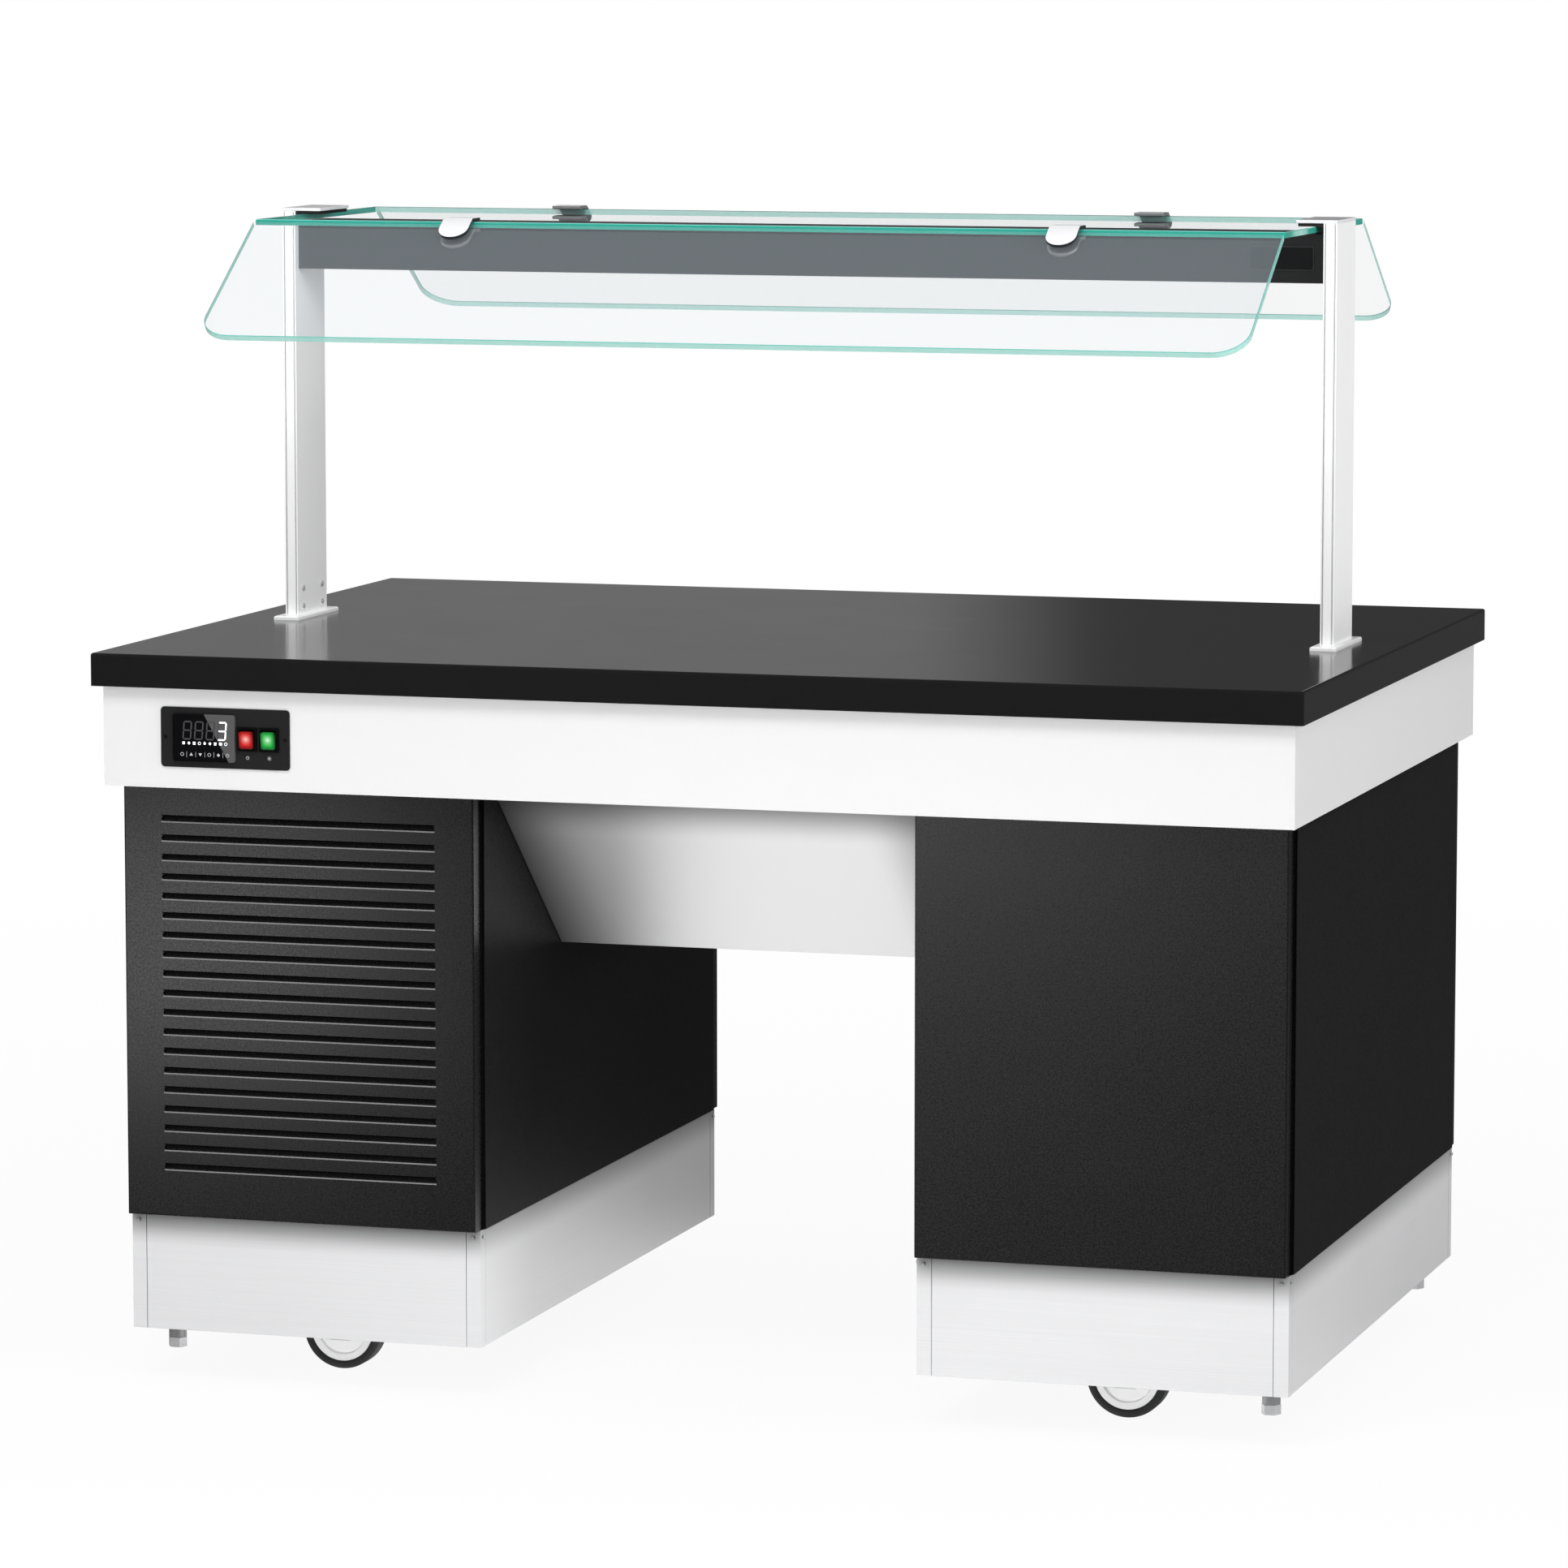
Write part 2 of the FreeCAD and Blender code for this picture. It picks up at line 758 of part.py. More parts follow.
def apron_tray():
    """Folded steel apron with the welded tray that carries slab, foam and plate."""
    body = new_body("apron_body")
    walls = sketch_on(body, "XY_Plane", "apron_walls", APRON_LOW)
    rectangle(walls, (-APRON_X, APRON_X), (-APRON_Y, APRON_Y))
    inner_x = APRON_X - S.apron_sheet
    inner_y = APRON_Y - S.apron_sheet
    rectangle(walls, (-inner_x, inner_x), (-inner_y, inner_y))
    pad(body, "apron_skirt", walls, S.apron_drop)
    hem = sketch_on(body, "XY_Plane", "apron_hem_outline", APRON_LOW)
    rectangle(hem, (-inner_x, inner_x), (-inner_y, inner_y))
    hem_x = inner_x - S.apron_hem
    hem_y = inner_y - S.apron_hem
    rectangle(hem, (-hem_x, hem_x), (-hem_y, hem_y))
    pad(body, "apron_hem_strip", hem, S.apron_sheet)
    floor = sketch_on(body, "XY_Plane", "tray_outline", TRAY_LOW)
    rectangle(floor, (-inner_x, inner_x), (-inner_y, inner_y))
    pad(body, "tray_floor", floor, S.tray_sheet)
    openings = sketch_on(body, "XZ_Plane", "control_openings", APRON_Y)
    control_openings(openings)
    pocket(body, "control_cutouts", openings, S.apron_sheet + S.overrun)
    risers = sketch_on(body, "XY_Plane", "line_holes", TRAY_LOW)
    for place_x, place_y in line_ends():
        circle(risers, place_x, place_y, S.line_radius + S.passage_fit)
    pocket(body, "line_passages", risers, S.tray_sheet, backward=True)
    studs = sketch_on(body, "XY_Plane", "tray_stud_holes", TRAY_LOW)
    for x in (-POST_MID, POST_MID):
        circle(studs, x, ZERO, S.spigot_nut + S.passage_fit)
    pocket(body, "stud_nut_holes", studs, S.tray_sheet, backward=True)
    node(body, "apron_tray")


def panel_screw_places():
    reach = CONTROL_WIDE / 2 - S.screw_edge
    return [CONTROL_X - reach, CONTROL_X + reach]


def control_openings(item):
    """Openings for the controller, both switches and the two screws."""
    half = S.controller_wide / 2 - S.controller_neck
    tall = S.controller_high / 2 - S.controller_neck
    rectangle(item, (CONTROLLER_X - half, CONTROLLER_X + half), (CONTROL_Z - tall, CONTROL_Z + tall))
    half = S.bezel_wide / 2 - S.bezel_wall / 2
    tall = S.bezel_high / 2 - S.bezel_wall / 2
    for x in (RED_X, GREEN_X):
        rectangle(item, (x - half, x + half), (CONTROL_Z - tall, CONTROL_Z + tall))
    for x in panel_screw_places():
        circle(item, x, CONTROL_Z, S.pan_shank)


def line_ends():
    """Where the two refrigerant lines rise through the tray."""
    x = -LINE_X
    y = COIL_PITCH * (COIL_RUNS - 1) / 2
    return [(x, -y), (x, y)]


def insulation():
    """Foam that fills the tray, with a shallow bed for the coil."""
    inner_x = APRON_X - S.apron_sheet
    inner_y = APRON_Y - S.apron_sheet
    low = TRAY_LOW + S.tray_sheet
    foam = block("foam_block", (-inner_x, inner_x), (-inner_y, inner_y), (low, SLAB_LOW))
    half_x = PLATE_X
    half_y = PLATE_Y
    bed_low = SLAB_LOW - S.plate_thick - S.coil_room
    bed = block("foam_bed", (-half_x, half_x), (-half_y, half_y), (bed_low, SLAB_LOW + S.overrun))
    nuts = []
    for index, x in enumerate((-POST_MID, POST_MID)):
        nut_room = S.spigot_nut + S.passage_fit
        nuts.append(rod(f"foam_nut_hole_{index}", x, ZERO, low - S.overrun, nut_room, SLAB_LOW))
    for index, (x, y) in enumerate(line_ends()):
        line_room = S.line_radius + S.passage_fit
        nuts.append(rod(f"foam_line_hole_{index}", x, y, low - S.overrun, line_room, SLAB_LOW))
    node(cut("foam_cut", foam, [bed] + nuts), "top_insulation")


def evaporator():
    """Cold plate under the slab with one serpentine of tube against it."""
    half_x = PLATE_X
    half_y = PLATE_Y
    plate_low = SLAB_LOW - S.plate_thick
    plate = block("cold_plate", (-half_x, half_x), (-half_y, half_y), (plate_low, SLAB_LOW))
    radius = S.coil_tube / 2
    z = (plate_low - radius - S.coil_gap).number
    run = RUN_HALF.number
    pitch = COIL_PITCH.number
    tail = -run - pitch / 2
    edges = []
    for index in range(COIL_RUNS):
        y = pitch * (index - (COIL_RUNS - 1) / 2)
        side = 1 if index % 2 == 0 else -1
        start = Vector(-side * run, y, z)
        finish = Vector(side * run, y, z)
        if index == 0:
            start = Vector(tail, y, z)
        if index == COIL_RUNS - 1:
            finish = Vector(tail, y, z)
        edges.append(Part.LineSegment(start, finish).toShape())
        if index < COIL_RUNS - 1:
            crown = Vector(side * (run + pitch / 2), y + pitch / 2, z)
            edges.append(Part.Arc(finish, crown, finish + Vector(0, pitch, 0)).toShape())
    path = Part.Wire(edges)
    start = edges[0].Vertexes[0].Point
    ring = Part.Wire(Part.Circle(start, ALONG_X, radius.number).toShape())
    coil = plain("serpentine", path.makePipeShell([ring], True, False))
    print("serpentine", round(coil.Shape.Volume / (math.pi * radius.number ** 2 * path.Length), 3))
    node(group("evaporator_group", [plate, coil]), "evaporator")


def trough():
    """Folded trough that closes the space under the top between the cabinets."""
    body = new_body("trough_body")
    side = sketch_on(body, "YZ_Plane", "trough_profile")
    high = TRAY_LOW
    collar = high - S.trough_collar
    sheet = S.trough_sheet
    top = TROUGH_TOP
    low = TROUGH_TOP - S.trough_run
    floor = TRAY_LOW - S.trough_drop
    outside = [(-top, high), (-top, collar), (-low, floor), (low, floor), (top, collar), (top, high)]
    inner_top = top - sheet
    inner_low = low - sheet / 2
    raised = floor + sheet
    inside = [(inner_top, high), (inner_top, collar + sheet), (inner_low, raised)]
    inside += [(-inner_low, raised), (-inner_top, collar + sheet), (-inner_top, high)]
    outline(side, outside + inside)
    pad(body, "trough_sheet_pad", side, S.knee_width, midplane=True)
    node(body, "trough_housing")


# Cabinets, made for the right side and mirrored to the left

def frame(side):
    """Welded frame of steel angle with its floor and the rails for two castors."""
    leg = S.angle_leg
    sheet = S.angle_sheet
    x = (FRAME_IN, FRAME_OUT)
    y = (-FRAME_Y, FRAME_Y)
    z = (FLOOR_TOP, TRAY_LOW)

    def shrunk(span, size):
        return (span[0] + size, span[1] - size)

    whole = block(f"{side}_frame_box", x, y, z)
    cuts = [
        block(f"{side}_frame_room", shrunk(x, sheet), shrunk(y, sheet), shrunk(z, sheet)),
        block(f"{side}_frame_along", shrunk(x, -S.overrun), shrunk(y, leg), shrunk(z, leg)),
        block(f"{side}_frame_across", shrunk(x, leg), shrunk(y, -S.overrun), shrunk(z, leg)),
        block(f"{side}_frame_upward", shrunk(x, leg), shrunk(y, leg), shrunk(z, -S.overrun)),
    ]
    parts = [cut(f"{side}_angles", whole, cuts)]
    parts.append(block(f"{side}_floor", x, y, (S.cabinet_floor, FLOOR_TOP)))
    half = S.rail_width / 2
    rail_x = (KICK_IN + S.kick_lip, KICK_OUT - S.kick_lip)
    rail_z = (CASTOR_HIGH, S.cabinet_floor)
    for j, middle in enumerate((-CASTOR_Y, CASTOR_Y)):
        rail_y = (middle - half, middle + half)
        rail = block(f"{side}_castor_rail_{j}", rail_x, rail_y, rail_z)
        inside = block(f"{side}_castor_rail_room_{j}", shrunk(rail_x, -S.overrun), shrunk(rail_y, sheet),
                       shrunk(rail_z, sheet))
        parts.append(cut(f"{side}_rail_tube_{j}", rail, [inside]))
    return fuse(f"{side}_frame_fuse", parts)


def frames():
    right = frame("right")
    left = mirror("left_frame_mirror", right, ACROSS_X)
    node(right, "right_frame")
    node(left, "left_frame")


def side_panels():
    """Flat panels on the inner and outer side of both cabinets."""
    half = CABINET_Y - S.panel_return - S.panel_seam
    z = (S.cabinet_floor, TRAY_LOW)
    sheets = []
    for name, low in (("inner", CABINET_IN), ("outer", FRAME_OUT)):
        right = block(f"right_{name}_side", (low, low + S.panel_sheet), (-half, half), z)
        sheets += [right, mirror(f"left_{name}_side", right, ACROSS_X)]
    node(group("side_panel_group", sheets), "side_panels")


def tray_panel(name):
    """Front panel of the right cabinet: a shallow folded tray, open to the back."""
    body = new_body(name)
    x = (CABINET_IN + S.panel_step, CABINET_OUT - S.panel_step)
    z = (S.cabinet_floor, PANEL_TOP)
    face = sketch_on(body, "XZ_Plane", f"{name}_face", FRAME_Y)
    rectangle(face, x, z)
    tray = pad(body, f"{name}_pad", face, S.panel_return)
    doc.recompute()
    front = -(CABINET_Y.number + FRAME_Y.number) / 2

    def on_front(middle):
        return middle.y < front

    edges = straight_edges(tray, UP, on_front) + straight_edges(tray, ALONG_X, on_front)
    round_edges(body, f"{name}_fold", tray, edges, S.panel_round)
    hollow = sketch_on(body, "XZ_Plane", f"{name}_hollow", FRAME_Y)
    sheet = S.panel_sheet
    rectangle(hollow, (x[0] + sheet, x[1] - sheet), (z[0] + sheet, z[1] - sheet))
    pocket(body, f"{name}_inside", hollow, S.panel_return - sheet, backward=True)
    return body


def front_panels():
    """Plain front of the right cabinet and louvred front of the left one."""
    node(tray_panel("right_front_body"), "right_front_panel")
    body = tray_panel("left_front_body")
    cut_face = sketch_on(body, "XZ_Plane", "louvre_slot", CABINET_Y)
    half = LOUVRE_LENGTH / 2 - S.louvre_gap / 2
    slot(cut_face, (CABINET_MID - half, CABINET_MID + half), LOUVRE_FIRST, S.louvre_gap)
    slots = pocket(body, "louvre_opening", cut_face, S.panel_sheet + S.overrun)
    repeat(body, "louvre_openings", [slots], "V_Axis", LOUVRE_PITCH, LOUVRE_COUNT)
    vane = sketch_on(body, "YZ_Plane", "louvre_vane", CABINET_MID)
    y = S.panel_sheet - CABINET_Y
    z = LOUVRE_FIRST - S.louvre_gap / 2
    sheet = S.panel_sheet
    outline(vane, [
        (y, z - sheet), (y, z),
        (y + S.vane_reach, z + S.vane_drop), (y + S.vane_reach + sheet, z + S.vane_drop),
    ])
    fin = pad(body, "louvre_fin", vane, LOUVRE_LENGTH, midplane=True)
    repeat(body, "louvre_fins", [fin], "V_Axis", LOUVRE_PITCH, LOUVRE_COUNT)
    place(body, -CABINET_MID * 2, ZERO, ZERO)
    node(body, "left_louvre_panel")


def rear_panels():
    """Plain panels on the staff side of both cabinets."""
    x = (CABINET_IN + S.panel_step, CABINET_OUT - S.panel_step)
    z = (S.cabinet_floor, PANEL_TOP)
    sheet = S.panel_sheet
    tray = block("rear_tray", x, (FRAME_Y, CABINET_Y), z)
    inner_y = (FRAME_Y - S.overrun, CABINET_Y - sheet)
    hollow = block("rear_hollow", (x[0] + sheet, x[1] - sheet), inner_y, (z[0] + sheet, z[1] - sheet))
    right = cut("right_rear", tray, [hollow])
    left_whole = mirror("left_rear_whole", right, ACROSS_X)
    gland_room = S.gland_radius + S.gland_fit
    gland = rod("gland_hole", BOX_X, FRAME_Y, GLAND_Z, gland_room, CABINET_Y, "y")
    left = cut("left_rear", left_whole, [gland])
    node(group("rear_group", [right, left]), "rear_panels")


# Plinth

def kick_corner(name, x, y, toward_x, toward_y):
    """An angle piece at one corner, its legs running the two given ways."""
    sheet = S.kick_sheet
    leg = S.kick_corner
    z = (S.kick_low, S.cabinet_floor)

    def span(start, way, length):
        return (start, start + length) if way > 0 else (start - length, start)

    front = block(f"{name}_front", span(x, toward_x, leg), span(y, toward_y, sheet), z)
    side = block(f"{name}_side", span(x, toward_x, sheet), span(y, toward_y, leg), z)
    edge = S.kick_screw_edge
    screw_z = S.cabinet_floor - edge
    far = leg - S.overrun
    front_y = span(y, toward_y, far)[0]
    side_x = span(x, toward_x, far)[0]
    holes = [
        rod(f"{name}_front_hole", x + edge * toward_x, front_y - S.overrun, screw_z, S.pan_shank, leg, "y"),
        rod(f"{name}_side_hole", side_x - S.overrun, y + edge * toward_y, screw_z, S.pan_shank, leg, "x"),
    ]
    return cut(name, fuse(f"{name}_angle", [front, side]), holes)


def kick_parts(side):
    """Kick plates and corner angles round one cabinet."""
    sheet = S.kick_sheet
    clear = S.kick_corner + S.kick_seam
    x = (KICK_IN + clear, KICK_OUT - clear)
    y = (clear - KICK_Y, KICK_Y - clear)
    z = (S.kick_low, S.cabinet_floor)
    lip_z = (S.cabinet_floor - sheet, S.cabinet_floor)
    lip = S.kick_lip
    walls = {
        "front": ((x, (-KICK_Y, sheet - KICK_Y)), (x, (-KICK_Y, lip - KICK_Y))),
        "back": ((x, (KICK_Y - sheet, KICK_Y)), (x, (KICK_Y - lip, KICK_Y))),
        "inner": (((KICK_IN, KICK_IN + sheet), y), ((KICK_IN, KICK_IN + lip), y)),
        "outer": (((KICK_OUT - sheet, KICK_OUT), y), ((KICK_OUT - lip, KICK_OUT), y)),
    }
    plates = []
    for name, (wall, flange) in walls.items():
        upright = block(f"{side}_{name}_wall", wall[0], wall[1], z)
        level = block(f"{side}_{name}_lip", flange[0], flange[1], lip_z)
        plates.append(fuse(f"{side}_{name}_kick", [upright, level]))
    corners = []
    for x_name, corner_x, toward_x in (("in", KICK_IN, 1), ("out", KICK_OUT, -1)):
        for y_name, corner_y, toward_y in (("front", -KICK_Y, 1), ("back", KICK_Y, -1)):
            name = f"{side}_{x_name}_{y_name}_corner"
            corners.append(kick_corner(name, corner_x, corner_y, toward_x, toward_y))
    return plates, corners


def plinth():
    plates, corners = kick_parts("right")
    left_plates = [mirror(f"left_of_{item.Name}", item, ACROSS_X) for item in plates]
    left_corners = [mirror(f"left_of_{item.Name}", item, ACROSS_X) for item in corners]
    node(group("kick_plate_group", plates + left_plates), "kick_plates")
    node(group("kick_corner_group", corners + left_corners), "kick_corners")


def pan_screw(name, x, y, z, axis, way):
    """A pan head screw whose head stands off a face toward the given way."""
    head = S.pan_head_thick
    start = ZERO if way > 0 else -head
    tail = -S.pan_long if way > 0 else ZERO
    if axis == "x":
        cap = rod(f"{name}_head", x + start, y, z, S.pan_head, head, axis)
        shank = rod(f"{name}_shank", x + tail, y, z, S.pan_shank, S.pan_long, axis)
    else:
        cap = rod(f"{name}_head", x, y + start, z, S.pan_head, head, axis)
        shank = rod(f"{name}_shank", x, y + tail, z, S.pan_shank, S.pan_long, axis)
    return fuse(name, [cap, shank])


def screws():
    """Pan head screws of the plinth corners and the control panel."""
    edge = S.kick_screw_edge
    z = S.cabinet_floor - edge
    right = []
    for x_name, corner_x, toward_x in (("in", KICK_IN, 1), ("out", KICK_OUT, -1)):
        for y_name, corner_y, toward_y in (("front", -KICK_Y, 1), ("back", KICK_Y, -1)):
            name = f"{x_name}_{y_name}_screw"
            right.append(pan_screw(f"{name}_a", corner_x + edge * toward_x, corner_y, z, "y", -toward_y))
            right.append(pan_screw(f"{name}_b", corner_x, corner_y + edge * toward_y, z, "x", -toward_x))
    left = [mirror(f"left_of_{item.Name}", item, ACROSS_X) for item in right]
    panel_y = -APRON_Y - S.control_thick
    panel = []
    for index, x in enumerate(panel_screw_places()):
        panel.append(pan_screw(f"panel_screw_{index}", x, panel_y, CONTROL_Z, "y", -1))
    node(group("screw_group", right + left + panel), "panel_screws")


# Castors and levelling feet

CORNERS = {
    "front_left": (-1, -1),
    "front_right": (1, -1),
    "rear_left": (-1, 1),
    "rear_right": (1, 1),
}


def swivel_x(way):
    return CABINET_MID * way - S.castor_trail * way


def castor_plates():
    """Bolted plates with the fixed race and the king pin of each castor."""
    items = []
    for name, (way_x, way_y) in CORNERS.items():
        x = swivel_x(way_x)
        y = CASTOR_Y * way_y
        half_x = S.castor_plate_x / 2
        half_y = S.castor_plate_y / 2
        low = CASTOR_HIGH - S.castor_plate_thick
        spans = ((x - half_x, x + half_x), (y - half_y, y + half_y), (low, CASTOR_HIGH))
        plate = block(f"{name}_plate", *spans)
        race_low = FORK_TOP + S.race_gap
        race = rod(f"{name}_race", x, y, race_low, S.race_radius, CASTOR_HIGH - race_low)
        pin_low = FORK_TOP - S.fork_sheet - S.race_gap - S.pin_head_thick
        pin = rod(f"{name}_pin", x, y, pin_low, S.pin_size / 2, CASTOR_HIGH - pin_low)
        head = rod(f"{name}_pin_head", x, y, pin_low, S.pin_head, S.pin_head_thick)
        solid = fuse(f"{name}_plate_fuse", [plate, race, pin, head])
        bores = []
        for i in (-1, 1):
            for j in (-1, 1):
                at_x = x + (half_x - S.bolt_edge_x) * i
                at_y = y + (half_y - S.bolt_edge_y) * j
                bores.append(rod(f"{name}_bolt_{i + 1}{j + 1}", at_x, at_y, low - S.overrun,
                                 S.plate_bolt_size / 2, CASTOR_HIGH))
        items.append(cut(f"{name}_plate_cut", solid, bores))
    node(group("castor_plate_group", items), "castor_plates")


def castor_fork(name, way_x, way_y):
    """Pressed fork with its axle bolt, drawn about the swivel axis."""
    body = new_body(f"{name}_fork_body")
    legs = sketch_on(body, "XZ_Plane", f"{name}_fork_side")
    head = S.fork_head
    toe = S.fork_toe
    axle_x = S.castor_trail
    axle_z = WHEEL_R
    neck = FORK_TOP - S.fork_neck
    outline(legs, [
        (-head, FORK_TOP), (-head, neck), (axle_x - toe, axle_z - toe), (axle_x + toe, axle_z - toe),
        (axle_x + toe, axle_z + toe), (head, neck), (head, FORK_TOP),
    ])
    pad(body, f"{name}_fork_pad", legs, FORK_GAP + S.fork_sheet * 2, midplane=True)
    gap = sketch_on(body, "XZ_Plane", f"{name}_fork_gap")
    reach = axle_x + toe + S.overrun
    rectangle(gap, (-reach, reach), (ZERO, FORK_TOP - S.fork_sheet))
    pocket(body, f"{name}_fork_opening", gap, FORK_GAP, midplane=True)
    bore = sketch_on(body, "XY_Plane", f"{name}_fork_bore", FORK_TOP)
    circle(bore, ZERO, ZERO, S.pin_size / 2 + S.pin_fit)
    pocket(body, f"{name}_pin_bore", bore, S.fork_sheet + S.overrun)
    hole = sketch_on(body, "XZ_Plane", f"{name}_axle_hole")
    circle(hole, axle_x, axle_z, S.axle_size / 2)
    pocket(body, f"{name}_axle_bore", hole, midplane=True)
    half = FORK_GAP / 2 + S.fork_sheet
    shank = rod(f"{name}_axle", axle_x, -half, axle_z, S.axle_size / 2, half * 2, "y")
    ends = []
    for end, y in (("head", -half - S.bolt_head_thick), ("nut", half)):
        ends.append(hexagon(f"{name}_axle_{end}", axle_x, y, axle_z, S.bolt_head, S.bolt_head_thick, "y"))
    bolt = fuse(f"{name}_axle_bolt", [shank] + ends)
    both = group(f"{name}_fork_group", [body, bolt])
    turn = Rotation(UP, 0 if way_x > 0 else HALF_TURN)
    place(both, swivel_x(way_x), CASTOR_Y * way_y, ZERO, turn)
    node(both, f"castor_fork_{name}")


def castor_wheel(name, way_x, way_y):
    """Dished hub and rubber tyre, each turned about the axle."""
    x = CABINET_MID * way_x
    y = CASTOR_Y * way_y
    rim = WHEEL_R - S.tyre_thick
    half = HUB_WIDTH / 2
    bore = S.axle_size / 2 + S.axle_fit
    boss = FORK_GAP / 2 - S.race_gap
    web = half - S.hub_dish
    hub = new_body(f"{name}_hub_body")
    profile = sketch_on(hub, "YZ_Plane", f"{name}_hub_profile")
    side = [(boss, bore), (boss, S.boss_radius), (web, S.boss_radius), (web, HUB_DISH_R),
            (half, HUB_DISH_R + S.hub_draft), (half, rim)]
    other = [(-y_size, radius) for y_size, radius in reversed(side)]
    outline(profile, side + other)
    revolve(hub, f"{name}_hub_turn", profile, "H_Axis")
    place(hub, x, y, WHEEL_R)
    node(hub, f"castor_hub_{name}")
    tyre = new_body(f"{name}_tyre_body")
    ring = sketch_on(tyre, "YZ_Plane", f"{name}_tyre_profile")
    wide = S.wheel_width / 2
    cheek = WHEEL_R - S.tyre_shoulder
    side = [(half, rim), (wide, rim + S.tyre_shoulder), (wide, cheek), (wide - S.tyre_shoulder, WHEEL_R)]
    other = [(-y_size, radius) for y_size, radius in reversed(side)]
    outline(ring, side + other)
    revolve(tyre, f"{name}_tyre_turn", ring, "H_Axis")
    place(tyre, x, y, WHEEL_R)
    node(tyre, f"castor_tyre_{name}")


def levelling_foot(name, way_x, way_y):
    """Hexagonal foot on a stud that screws up and down in its sleeve."""
    x = FOOT_X * way_x
    y = FOOT_Y * way_y
    base = hexagon(f"{name}_foot_hex", x, y, S.foot_low, S.foot_hex, S.foot_hex_high)
    top = S.foot_low + S.foot_hex_high
    stud = rod(f"{name}_foot_stud", x, y, top, S.foot_stud / 2, S.foot_stud_long)
    node(fuse(f"{name}_foot_fuse", [base, stud]), f"levelling_foot_{name}")


def foot_sleeves():
    """Tubes welded under the cabinet floors that take the four studs."""
    items = []
    low = S.foot_low + S.foot_hex_high + S.race_gap
    for name, (way_x, way_y) in CORNERS.items():
        x = FOOT_X * way_x
        y = FOOT_Y * way_y
        tube_rod = rod(f"{name}_sleeve", x, y, low, S.foot_sleeve, S.cabinet_floor - low)
        bore = rod(f"{name}_sleeve_bore", x, y, low - S.overrun, S.foot_stud / 2 + S.foot_fit,
                   S.foot_stud_long + S.foot_stud_room)
        items.append(cut(f"{name}_sleeve_cut", tube_rod, [bore]))
    node(group("foot_sleeve_group", items), "foot_sleeves")


def castors():
    castor_plates()
    foot_sleeves()
    for name, (way_x, way_y) in CORNERS.items():
        castor_fork(name, way_x, way_y)
        castor_wheel(name, way_x, way_y)
        levelling_foot(name, way_x, way_y)


# Control panel

def control_plate():
    """Black plate on the apron with openings for controller and switches."""
    body = new_body("control_plate_body")
    face = sketch_on(body, "XZ_Plane", "control_plate_face", APRON_Y)
    half = CONTROL_WIDE / 2
    tall = S.control_high / 2
    rectangle(face, (CONTROL_X - half, CONTROL_X + half), (CONTROL_Z - tall, CONTROL_Z + tall))
    plate = pad(body, "control_plate_pad", face, S.control_thick)
    doc.recompute()
    corners = straight_edges(plate, ALONG_Y, everywhere)
    round_edges(body, "control_plate_corners", plate, corners, S.control_round)
    openings = sketch_on(body, "XZ_Plane", "control_plate_openings", APRON_Y)
    control_openings(openings)
    pocket(body, "control_plate_cutouts", openings, midplane=True)
    node(body, "control_plate")


def controller():
    """Controller case with a raised rim, and the dark window set in it."""
    face_y = -APRON_Y - S.control_thick
    half = S.controller_wide / 2
    tall = S.controller_high / 2
    neck = S.controller_neck
    x = (CONTROLLER_X - half, CONTROLLER_X + half)
    z = (CONTROL_Z - tall, CONTROL_Z + tall)
    rim = block("controller_flange", x, (face_y - S.controller_rim, face_y), z)
    inner_x = (x[0] + neck, x[1] - neck)
    inner_z = (z[0] + neck, z[1] - neck)
    shell = block("controller_shell", inner_x, (face_y, face_y + S.controller_deep), inner_z)
    recess_y = (face_y - S.controller_rim - S.overrun, face_y - S.controller_rim + S.window_thick)
    recess = block("window_recess", inner_x, recess_y, inner_z)
    node(cut("controller_cut", fuse("controller_fuse", [rim, shell]), [recess]), "controller_case")
    fit = S.window_fit
    window_y = (face_y - S.controller_rim, face_y - S.controller_rim + S.window_thick)
    window_x = (inner_x[0] + fit, inner_x[1] - fit)
    window = block("window_plate", window_x, window_y, (inner_z[0] + fit, inner_z[1] - fit))
    node(window, "controller_window")


def rocker_bezels():
    """Frames of the two rocker switches with a bore for each rocker pin."""
    items = []
    face_y = -APRON_Y - S.control_thick
    for name, x in (("red", RED_X), ("green", GREEN_X)):
        half = S.bezel_wide / 2
        tall = S.bezel_high / 2
        wall = S.bezel_wall
        z = CONTROL_Z
        flange_y = (face_y - S.bezel_thick, face_y)
        flange = block(f"{name}_flange", (x - half, x + half), flange_y, (z - tall, z + tall))
        slim_x = half - wall / 2
        slim_z = tall - wall / 2
        box_y = (face_y, face_y + S.bezel_deep)
        box = block(f"{name}_box", (x - slim_x, x + slim_x), box_y, (z - slim_z, z + slim_z))
        room_y = (face_y - S.bezel_thick - S.overrun, face_y + S.bezel_deep - wall)
        room_x = (x - half + wall, x + half - wall)
        room = block(f"{name}_room", room_x, room_y, (z - tall + wall, z + tall - wall))
        pin_x = half - wall + S.rocker_pin_long
        pin_y = face_y
        bore = rod(f"{name}_pin_bore", x - pin_x, pin_y, z, S.rocker_pin / 2 + S.rocker_fit, pin_x * 2, "x")
        items.append(cut(f"{name}_bezel", fuse(f"{name}_bezel_fuse", [flange, box]), [room, bore]))
    node(group("bezel_group", items), "rocker_bezels")


